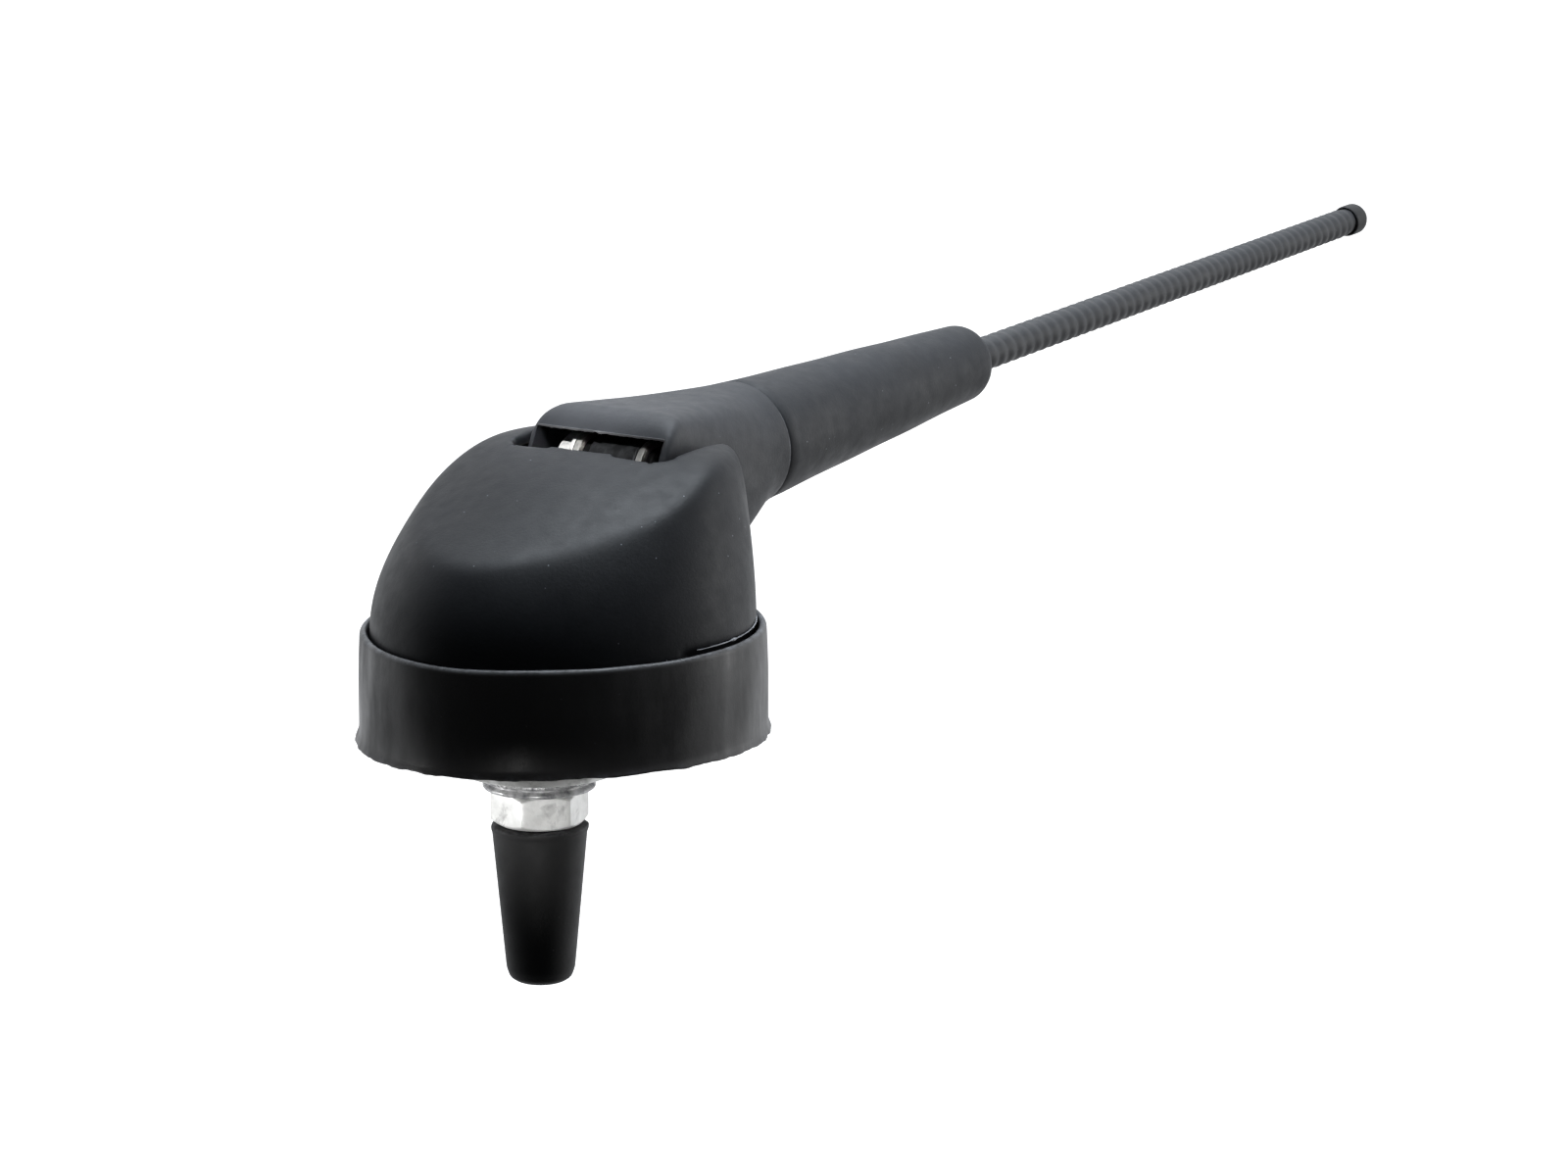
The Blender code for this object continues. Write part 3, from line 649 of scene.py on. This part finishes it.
def between(stations, steps):
    """Smooth stations between the given ones (monotone cubic in x)."""
    table = np.array(stations, float)
    x = table[:, 0]
    out = []
    slopes = np.zeros_like(table)
    rise = np.diff(table, axis=0) / np.diff(x)[:, None]
    steady = rise[:-1] * rise[1:] > 0
    both = np.where(steady, rise[:-1] + rise[1:], 1.0)
    slopes[1:-1] = np.where(steady, 2 * rise[:-1] * rise[1:] / both, 0.0)
    slopes[0], slopes[-1] = rise[0], rise[-1]
    for i in range(len(x) - 1):
        h = x[i + 1] - x[i]
        for t in np.linspace(0, 1, steps, endpoint=False):
            a, b = table[i], table[i + 1]
            row = ((2 * t ** 3 - 3 * t ** 2 + 1) * a + (t ** 3 - 2 * t ** 2 + t) * h * slopes[i]
                   + (-2 * t ** 3 + 3 * t ** 2) * b + (t ** 3 - t ** 2) * h * slopes[i + 1])
            row[0] = x[i] + h * t
            out.append(row)
    out.append(table[-1])
    return out


def make_hood(mat):
    """The moulding is melted first; its window and collar face are cut after, so those edges stay crisp."""
    x, *rest = HOOD[-1]
    rows = [*between(HOOD, 5), np.array((x + 2.0, *rest))]
    hood = outward(add("arm_shell", *skin([squared_ring(*row) for row in rows]), mat))
    combine(hood, prism("undercut_guide", UNDERCUT, -30, 30, None), "DIFFERENCE")
    melt(hood, 0.26, 3)
    half, lintel, depth = WINDOW
    window = ((5.0, HOLLOW_FLOOR), (depth, HOLLOW_FLOOR), (depth, lintel), (5.0, lintel))
    combine(hood, prism("window_guide", window, -half, half, None), "DIFFERENCE")
    inside = [squared_ring(x, top, HOLLOW_FLOOR, wide, 9.0) for x, top, wide in between(HOOD_HOLLOW, 4)]
    combine(hood, outward(add("hollow_guide", *skin(inside), None)), "DIFFERENCE")
    combine(hood, cylinder("collar_guide", COLLAR_BORE, -20.0, 5.0, whip_axis()), "DIFFERENCE")
    combine(hood, cylinder("face_guide", 30.0, 0.0, 6.0, whip_axis()), "DIFFERENCE")
    settle(hood, 40.0)
    return place(hood, "arm", "arm_hood", "arm_hood")


def make_flash(mat):
    """Thin ragged flash left along the window's upper edge by the mould, with one torn nick."""
    half, lintel, _ = WINDOW
    y = np.linspace(-half - 0.1, half + 0.1, 180)
    ragged = 0.10 + 0.05 * ripple(y, 0 * y, 0 * y, 2.3, 0.4) + 0.04 * ripple(y, 0 * y, 0 * y, 0.9, 1.9)
    nick = 0.55 * np.exp(-((y - 0.6) / 0.35) ** 2)
    low = lintel - np.maximum(ragged * 1.5, 0.03) + np.minimum(nick, 0.22)
    push = 0.05 + 0.35 * np.exp(-((y - 0.2) / 0.8) ** 2)
    thick, root = 0.16, lintel + 0.12
    rings = [[(HOOD_FRONT - p, v, root) for v, p in zip(y, push)],
             [(HOOD_FRONT - p - 0.02, v, z) for v, z, p in zip(y, low, push)],
             [(HOOD_FRONT - p - 0.02 + thick, v, z) for v, z, p in zip(y, low, push)],
             [(HOOD_FRONT + thick, v, root) for v in y]]
    rings = np.array(rings).transpose(1, 0, 2)
    flash = outward(add("window_flash", *skin(rings), mat))
    return place(flash, "arm", "arm_hood")


def make_knuckle(mat):
    knuckle = cylinder("knuckle_casting", BARREL_R, *BARREL, across(), 96, mat)
    px, pz = PIVOT
    arc = [(px + WEB_R * math.cos(a), pz + WEB_R * math.sin(a)) for a in np.linspace(1.45, 3.9, 20)]
    web = [*WEB_REAR, *arc]
    combine(knuckle, prism("web_guide", web, *BARREL, None), "UNION")
    combine(knuckle, cylinder("boss_guide", *BOSS, whip_axis(), 96), "UNION")
    combine(knuckle, cylinder("bore_guide", PIN_R + 0.15, -20, 20, across()), "DIFFERENCE")
    combine(knuckle, cylinder("insert_guide", *INSERT, whip_axis()), "DIFFERENCE")
    return place(melt(knuckle, 0.24, 3), "arm", "knuckle", "knuckle")


# ================================================================ hinge hardware
def make_bracket(mat):
    x0, x1, half, z0, z1 = BRACKET_FOOT
    bracket = prism("bracket_plate", ((x0, z0), (x1, z0), (x1, z1), (x0, z1)), -half, half, mat)
    px, pz = PIVOT
    arc = [(px + LUG_R * math.cos(a), pz + LUG_R * math.sin(a)) for a in np.linspace(0, math.pi, 33)]
    outline = [*LUG_BACK, *arc, *LUG_FRONT]
    for name, (y0, y1) in (("lug_near_guide", LUG_NEAR), ("lug_far_guide", LUG_FAR)):
        combine(bracket, prism(name, outline, y0, y1, None), "UNION")
    combine(bracket, cylinder("pivot_guide", PIN_R + 0.1, -20, 20, across()), "DIFFERENCE")
    for i, (x, y) in enumerate(BRACKET_SCREWS, 1):
        hole = cylinder(f"hole_guide_{i}", SCREW_CLEAR, 10.0, 19.0, along((x, y, 0), (0, 0, 1)))
        combine(bracket, hole, "DIFFERENCE")
    settle(bevel(bracket, 0.18))
    return place(bracket, "base", "hinge_bracket", "hinge_bracket")


def hexagon(name, across_flats, bore, z0, z1, mat, matrix=None, turn=0.0, thread=0.0):
    """Hex nut: flats with slightly rounded corners, 30 degree chamfers, countersunk threaded bore."""
    sides = 192
    flat = across_flats / 2
    angle = np.arange(sides) * TURN / sides
    faces = [flat / np.maximum(np.cos(angle - k * math.pi / 3), 1e-3) for k in range(6)]
    hexed = sum((flat / f) ** 240 for f in faces) ** (-1.0 / 240) * flat
    tall = z1 - z0
    rings = []

    def ring(radius, z):
        rings.append(np.stack([radius * np.cos(angle + turn), radius * np.sin(angle + turn), z], axis=1))
    for t in np.linspace(0, 1, 5):
        ring(np.minimum(bore + 0.55 + (flat * 0.97 - bore - 0.55) * t, hexed), np.full(sides, z0))
    for z in np.concatenate([np.linspace(0.0, 0.16, 8), np.linspace(0.84, 1.0, 8)]):
        rise = min(z, 1 - z) * tall
        limit = flat * 0.97 + rise / math.tan(math.radians(30))
        soft = (hexed ** -60.0 + limit ** -60.0) ** (-1 / 60)
        ring(soft, np.full(sides, z0 + z * tall))
    for t in np.linspace(1, 0, 5):
        ring(np.minimum(bore + 0.55 + (flat * 0.97 - bore - 0.55) * t, hexed), np.full(sides, z1))
    for z in np.linspace(z1 - 0.5, z0 + 0.5, int(tall * 10)):
        ring(bore + thread * (0.5 + 0.5 * np.sin(TURN * z - angle)), np.full(sides, z))
    return outward(add(name, *skin(rings, loop=True), mat, matrix, sharp=40.0))


def make_pivot(mats):
    y0, y1, head = SCREW_HEAD
    pin = ((0.0, y0 + 0.9), (0.9, y0 + 0.9), (1.1, y0), (head * 0.7, y0), (head, y0 + 0.7), (head, y1),
           (PIN_R, y1), (PIN_R, PIN_END - 0.4), (PIN_R - 0.4, PIN_END), (0.0, PIN_END))
    bolt = turned("pivot_bolt", pin, mats["black_steel"], across(), radius=0.12)
    place(bolt, "base", "pivot_screw", "pivot_screw")
    for name, node, (z0, z1, r), finish in (("spring_ring", "spring_washer", SPRING, "black_steel"),
                                            ("flat_ring", "flat_washer", WASHER, "bright")):
        loop = ((PIN_R + 0.15, z0), (r, z0), (r, z1), (PIN_R + 0.15, z1))
        place(turned(name, loop, mats[finish], across(), radius=0.2), "base", node, node)
    nut = hexagon("pivot_hex", NUT_FLATS, PIN_R + 0.08, *NUT_Y, mats["bright"], across())
    place(nut, "base", "pivot_nut", "pivot_nut")


# ================================================================ whip
def make_boot(mat):
    """Tapered sleeve with a rounded end, a little uneven as soft mouldings are."""
    r0, r1 = BOOT_R
    slope = (r1 - r0) / BOOT_END
    end, start = BOOT_END, 0.3
    loop = [(5.75, start), (r0 - 0.25, start), (r0, start + 0.35)]
    loop += [(r0 + slope * s, s) for s in np.linspace(3.0, end - 3.0, 26)]
    tip = r0 + slope * (end - 3.0)
    loop += [(tip - 2.6 * (1 - math.cos(a)), end - 3.0 + 3.0 * math.sin(a))
             for a in np.linspace(0.12, 1.5, 12)]
    loop += [(tip - 2.8, end), (3.15, end), (2.95, end - 0.3), (2.95, 14.5), (5.75, 14.3)]

    def wobble(r, z, angle):
        outer = (r > 5.9) & (z > 3.0)
        lump = 0.035 * np.sin(z / 7.0 + 2 * angle) + 0.03 * np.sin(z / 3.1 - 3 * angle)
        return r + np.where(outer, lump, 0.0), z
    boot = turned("boot_sleeve", loop, mat, whip_axis(), sides=128, radius=0.0, wobble=wobble, sharp=50.0)
    return place(boot, "whip", "mast_boot", "mast_boot")


def make_sheath(mat):
    """Rubber sleeve over the winding: one helical rib, closer-wound toward the tip."""
    sides, per_turn = 40, 14
    s, phase, places, phases = BOOT_END - 2.0, 0.0, [], []
    step = RIB_PITCH / per_turn
    last = WHIP_END - 5.2
    while s < last:
        places.append(s)
        phases.append(phase)
        pitch = 2.85 - 0.45 * min(max((s - 95.0) / 60.0, 0.0), 1.0)
        phase += TURN * step / pitch
        s += step
    places, phases = np.array(places), np.array(phases)
    angle = np.arange(sides) * TURN / sides
    core = ROD_R[0] + (ROD_R[1] - ROD_R[0]) * (places - BOOT_END) / (WHIP_END - BOOT_END)
    wave = 0.5 + 0.5 * np.cos(phases[:, None] - angle[None, :])
    ease = np.clip((last - places) / 2.0, 0, 1)[:, None]
    r = core[:, None] - RIB_HEIGHT * (1.0 - wave ** 0.8) * ease - 0.25 * (1 - ease)
    tube = np.stack([r * np.cos(angle), r * np.sin(angle), np.repeat(places[:, None], sides, 1)], axis=2)

    def plain(radius, z):
        return np.stack([radius * np.cos(angle), radius * np.sin(angle), np.full(sides, z)], axis=1)[None]
    rings = np.concatenate([plain(2.02, 15.0), plain(2.6, 15.0), tube, plain(2.25, last + 0.2),
                            plain(2.25, WHIP_END - 1.9), plain(2.02, WHIP_END - 1.9)])
    sheath = outward(add("whip_sheath", *skin(rings, loop=True), mat, whip_axis(), sharp=None))
    return place(sheath, "whip", "sheath", "sheath")


def make_tip(mat):
    e = WHIP_END
    loop = ((0.0, e - 1.2), (2.3, e - 1.2), (2.32, e - 4.9), (2.65, e - 4.9), (2.75, e - 4.5),
            (2.75, e - 1.6), (2.0, e - 0.2), (0.9, e), (0.0, e))
    button = turned("tip_button", loop, mat, whip_axis(), sides=64, radius=0.35)
    return place(button, "whip", "tip_cap", "tip_cap")


# ================================================================ clamp
def make_stud(mat):
    """Hollow stud with a rolled thread and a flange inside the dome."""
    sides, pitch, deep = 64, 1.0, 0.42
    angle = np.arange(sides) * TURN / sides
    rings = []

    def ring(radius, z):
        rings.append(np.stack([radius * np.cos(angle), radius * np.sin(angle), np.full(sides, z)], axis=1))
    for r, z in ((2.45, 7.1), (2.6, 7.2), (6.3, 7.2), (6.6, 6.9), (6.6, 5.3), (6.5, 5.2), (STUD_R, 5.2),
                 (STUD_R, 0.0)):
        ring(np.full(sides, r), z)
    for z in np.arange(-0.2, STUD_END + 0.8, -pitch / 9):
        groove = 0.5 + 0.5 * np.cos(TURN * z / pitch - angle)
        ring(STUD_R - deep * groove ** 1.4, z)
    for r, z in ((3.5, STUD_END), (2.75, STUD_END), (2.45, STUD_END + 0.4)):
        ring(np.full(sides, r), z)
    stud = outward(add("threaded_stud", *skin(rings, loop=True), mat, sharp=60.0))
    return place(stud, "base", "mounting_stud", "mounting_stud")


def make_claw(mat):
    """Toothed washer: a shallow dish with sharp teeth pressed up round its rim."""
    r, low, high = CLAW
    sides = CLAW_TEETH * 12
    angle = np.arange(sides) * TURN / sides
    tooth = np.clip(1.4 * np.abs(((angle * CLAW_TEETH / TURN) % 1.0) * 2 - 1) - 0.2, 0, 1)
    loop = soften(((4.15, low), (9.2, low - 0.25), (r - 1.2, low - 0.45), (r - 0.4, -3.6), (r, -2.7),
                   (r, -2.3), (r - 0.55, -2.2), (r - 1.1, -2.5), (8.9, low + 1.1), (4.15, low + 1.1)), 0.3, 4)
    rings = []
    for radius, z in loop:
        lift = (high + 2.2) * tooth if radius > r - 1.0 and z > -2.75 else 0.0 * tooth
        rings.append(np.stack([radius * np.cos(angle), radius * np.sin(angle), z + lift], axis=1))
    claw = outward(add("claw_ring", *skin(rings, loop=True), mat, sharp=40.0))
    return place(claw, "clamp", "claw_washer", "claw_washer")


def make_clamp(mats):
    make_claw(mats["zinc"])
    loop = ((4.15, -7.75), (7.9, -7.75), (8.45, -7.55), (8.6, -7.2), (8.35, -6.85), (8.0, -6.6),
            (8.15, -6.3), (8.7, -6.15), (8.75, -5.9), (8.6, -4.7), (8.3, -4.6), (4.15, -4.6))

    def serrate(r, z, angle):
        upper = (r > 8.2) & (z > -6.1)
        return r - np.where(upper, 0.16 * (0.5 + 0.5 * np.sign(np.sin(64 * angle))), 0.0), z
    washer = turned("flange_ring", loop, mats["flange"], sides=512, radius=0.18, wobble=serrate, sharp=40.0)
    place(washer, "clamp", "flange_washer", "flange_washer")
    nut = hexagon("clamp_nut", NUT_AF, STUD_R + 0.08, *NUT_Z, mats["bright"], turn=NUT_TURN, thread=0.3)
    place(nut, "nut", "hex_nut", "hex_nut")


def make_cap(mat):
    z0, z1 = CAP_Z
    r1, r0 = CAP_R
    loop = [(0.0, STUD_END - 0.5), (4.15, STUD_END - 0.5), (4.15, z1 - 0.4), (4.5, z1), (r1 - 0.2, z1),
            (r1 + 0.1, z1 - 0.25), (r1 + 0.06, z1 - 0.8), (r1 - 0.12, z1 - 1.2), (r0 + 0.25, z0 + 2.2),
            (r0 - 0.25, z0 + 0.8), (r0 - 1.3, z0 + 0.12), (r0 - 3.0, z0), (0.0, z0)]

    def wobble(r, z, angle):
        rim = np.clip((z - (z1 - 1.2)) / 1.0, 0, 1) * (r > 6.5)
        nick = 0.10 * np.sin(5 * angle + 0.6) + 0.06 * np.sin(11 * angle)
        return r + 0.4 * nick * rim, z + nick * rim * 0.8
    cap = turned("stud_boot", loop, mat, sides=160, radius=0.45, wobble=wobble)
    return place(cap, "cap", "stud_cap", "stud_cap")


# ================================================================ carried-over CAD nodes
def repaint(mats):
    finish = {"base_plate": "cast", "insulator_block": "plastic", "stud_insulator": "ptfe",
              "centre_pin": "brass", "contact_strip": "brass", "mast_socket": "brass",
              "seal_ring": "inner_rubber", "mast_ferrule": "zinc", "rod_core": "steel", "winding": "wire"}
    for i in (1, 2):
        finish[f"block_screw_{i}"] = "steel"
        finish[f"bracket_screw_{i}"] = "steel"
    for node, key in finish.items():
        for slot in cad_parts[node].material_slots:
            slot.material = mats[key]


# ================================================================ camera, light, floor
def make_camera():
    a, e = math.radians(CAMERA["azimuth"]), math.radians(CAMERA["elevation"])
    back = Vector((math.sin(a) * math.cos(e), -math.cos(a) * math.cos(e), math.sin(e)))
    right = Vector((math.cos(a), math.sin(a), 0.0))
    up = back.cross(right)
    data = bpy.data.cameras.new("camera")
    data.lens, data.sensor_width = CAMERA["lens"], CAMERA["sensor"]
    data.clip_start, data.clip_end = 0.01, 100.0
    cam = bpy.data.objects.new("camera", data)
    bpy.context.scene.collection.objects.link(cam)
    span = CAMERA["distance"] * CAMERA["sensor"] / CAMERA["lens"]
    spot = back * CAMERA["distance"] - right * (AIM[0] * span) - up * (AIM[1] * span)
    cam.matrix_world = Matrix.Translation(spot) @ Matrix((right, up, back)).transposed().to_4x4()
    bpy.context.scene.camera = cam
    return back, right


def area(name, spot, aim, size, power, colour=(1.0, 1.0, 1.0)):
    data = bpy.data.lights.new(name, "AREA")
    data.shape = "RECTANGLE"
    data.size, data.size_y = size
    data.energy = power
    data.color = colour
    obj = bpy.data.objects.new(name, data)
    bpy.context.scene.collection.objects.link(obj)
    spot, aim = Vector(spot), Vector(aim)
    obj.matrix_world = Matrix.Translation(spot) @ (aim - spot).to_track_quat("-Z", "Y").to_matrix().to_4x4()
    return obj


def make_studio(back, right):
    """White behind and dark toward the camera; two soft lights above, one at the right, three small fills."""
    flat = Vector((back.x, back.y, 0.0)).normalized()
    middle = Vector((0.03, 0.0, 0.02))
    up = Vector((0, 0, 1))
    area("overhead", middle + up * 0.85 - flat * 0.28 + right * 0.15, middle, (0.7, 0.45), 2.5, COOL)
    area("over_whip", Vector((0.16, 0.0, 0.60)), Vector((0.12, 0.0, 0.03)), (0.5, 0.3), 4.8, COOL)
    area("right_side", middle + right * 0.8 + up * 0.10 - flat * 0.18, middle, (0.3, 0.5), 2.1)
    nut = Vector((0.0, 0.0, -0.0095))
    fill = area("nut_fill", nut + flat * 0.25 - right * 0.02 - up * 0.05, nut, (0.03, 0.006), 0.0011)
    fill.data.spread = math.radians(9)
    side = area("nut_side", nut - right * 0.25 + flat * 0.03, nut, (0.04, 0.006), 0.0012)
    side.data.spread = math.radians(8)
    hinge = Vector((0.0175, 0.006, 0.042))
    glint = area("hinge_fill", hinge + flat * 0.20 + up * 0.19, hinge, (0.012, 0.012), 0.0022)
    glint.data.spread = math.radians(7)

    world = bpy.data.worlds.new("studio")
    bpy.context.scene.world = world
    world.use_nodes = True
    tree = world.node_tree
    toward = tree.nodes.new("ShaderNodeVectorMath")
    toward.operation = "DOT_PRODUCT"
    toward.inputs[1].default_value = flat
    place_node = tree.nodes.new("ShaderNodeTexCoord")
    tree.links.new(place_node.outputs["Generated"], toward.inputs[0])
    fade = tree.nodes.new("ShaderNodeMapRange")
    fade.interpolation_type = "SMOOTHSTEP"
    for key, value in (("From Min", -0.80), ("From Max", 0.30), ("To Min", BACKDROP), ("To Max", 0.035)):
        fade.inputs[key].default_value = value
    tree.links.new(toward.outputs["Value"], fade.inputs["Value"])
    around = tree.nodes["Background"]
    around.inputs["Color"].default_value = (0.95, 0.97, 1.0, 1.0)
    tree.links.new(fade.outputs["Result"], around.inputs["Strength"])
    seen = tree.nodes.new("ShaderNodeBackground")
    seen.inputs["Color"].default_value = (1.0, 1.0, 1.0, 1.0)
    seen.inputs["Strength"].default_value = 1.0
    ray = tree.nodes.new("ShaderNodeLightPath")
    mix = tree.nodes.new("ShaderNodeMixShader")
    tree.links.new(ray.outputs["Is Camera Ray"], mix.inputs["Fac"])
    tree.links.new(around.outputs[0], mix.inputs[1])
    tree.links.new(seen.outputs[0], mix.inputs[2])
    tree.links.new(mix.outputs[0], tree.nodes["World Output"].inputs["Surface"])

    paper = Paint("paper", (0.9, 0.9, 0.9), 0.0, 0.9)
    paper.shader.inputs["Emission Color"].default_value = (1.0, 1.0, 1.0, 1.0)
    paper.shader.inputs["Emission Strength"].default_value = 0.9
    half = 9000.0
    square = ((-half, -half), (half, -half), (half, half), (-half, half))
    rings = [[(x, y, z) for x, y in square] for z in (-330, -320)]
    floor = outward(add("floor", *skin(rings), paper.mat))
    floor.visible_diffuse = False
    floor.visible_glossy = False
    bpy.context.scene.view_settings.view_transform = "Standard"


def main():
    back, right = make_camera()
    mats = {
        "shell": soft_rubber("shell_rubber", (0.010, 0.0108, 0.0128), (0.0145, 0.0155, 0.018),
                             (0.14, 0.15, 0.17), 0.8, (0.44, 0.56), gloss=0.17),
        # the arm's collar edge at the seam gets a painted highlight line
        "arm": soft_rubber("arm_rubber", (0.022, 0.0235, 0.027), (0.030, 0.032, 0.037),
                           (0.16, 0.17, 0.19), 1.3, gloss=0.32,
                           lip=("X", SEAM[0] - 0.45, SEAM[0] - 0.1, (0.13, 0.135, 0.15))),
        "boot": soft_rubber("boot_rubber", (0.017, 0.0183, 0.0213), (0.024, 0.0258, 0.030),
                            (0.15, 0.16, 0.18), 1.2, gloss=0.27),
        "sheath": soft_rubber("sheath_rubber", (0.026, 0.027, 0.030), (0.036, 0.038, 0.042),
                              (0.12, 0.12, 0.13), 0.7),
        # the cap's top rim gets a painted highlight line
        "cap": soft_rubber("cap_rubber", (0.010, 0.010, 0.0105), (0.014, 0.014, 0.0145),
                           (0.06, 0.06, 0.06), 0.8, (0.60, 0.72),
                           ("Z", CAP_Z[1] - 0.5, CAP_Z[1] - 0.1, (0.06, 0.06, 0.065))),
        "flash": soft_rubber("flash_rubber", (0.05, 0.052, 0.056), (0.12, 0.122, 0.128), (0.2, 0.2, 0.2)),
        # painted highlight: light colour for the ribbon along the housing's foot
        "edge": soft_rubber("painted_foot_highlight", (0.16, 0.165, 0.18), (0.42, 0.43, 0.46), (0.6, 0.6, 0.6)),
        "inner_rubber": soft_rubber("seal_rubber", (0.010, 0.010, 0.011), (0.016, 0.016, 0.017),
                                    (0.05, 0.05, 0.05)),
        "skirt": skirt_rubber(),
        "zinc": plated("zinc_plate", (0.70, 0.70, 0.68), (0.42, 0.42, 0.40), (0.28, 0.50), 380.0, 0.6),
        "bright": plated("bright_zinc", (0.93, 0.93, 0.91), (0.74, 0.74, 0.72), (0.34, 0.55), 300.0, 0.35),
        "flange": plated("stained_zinc", (0.66, 0.66, 0.66), (0.20, 0.20, 0.21), (0.34, 0.55), 520.0, 0.45),
        "steel": plated("plain_steel", (0.55, 0.55, 0.54), (0.35, 0.35, 0.34)),
        "black_steel": plated("black_oxide", (0.035, 0.035, 0.037), (0.02, 0.02, 0.02), (0.35, 0.5)),
        "brass": plated("brass", (0.80, 0.60, 0.28), (0.55, 0.38, 0.16), (0.25, 0.45)),
        "cast": plated("cast_alloy", (0.62, 0.62, 0.61), (0.45, 0.45, 0.44), (0.45, 0.6), 600.0),
        "dark_cast": dark_cast(),
        "plastic": moulded("black_plastic", (0.010, 0.010, 0.011), (0.018, 0.018, 0.019)),
        "ptfe": moulded("white_plastic", (0.72, 0.72, 0.69), (0.80, 0.80, 0.78), (0.3, 0.45)),
        "wire": wound_wire(),
    }
    make_gasket(mats["skirt"])
    make_housing(mats["shell"])
    make_foot_highlight(mats["edge"])
    make_hood(mats["arm"])
    make_flash(mats["flash"])
    make_knuckle(mats["dark_cast"])
    make_bracket(mats["zinc"])
    make_pivot(mats)
    make_boot(mats["boot"])
    make_sheath(mats["sheath"])
    make_tip(mats["inner_rubber"])
    make_stud(mats["zinc"])
    make_clamp(mats)
    make_cap(mats["cap"])
    repaint(mats)
    make_studio(back, right)


main()
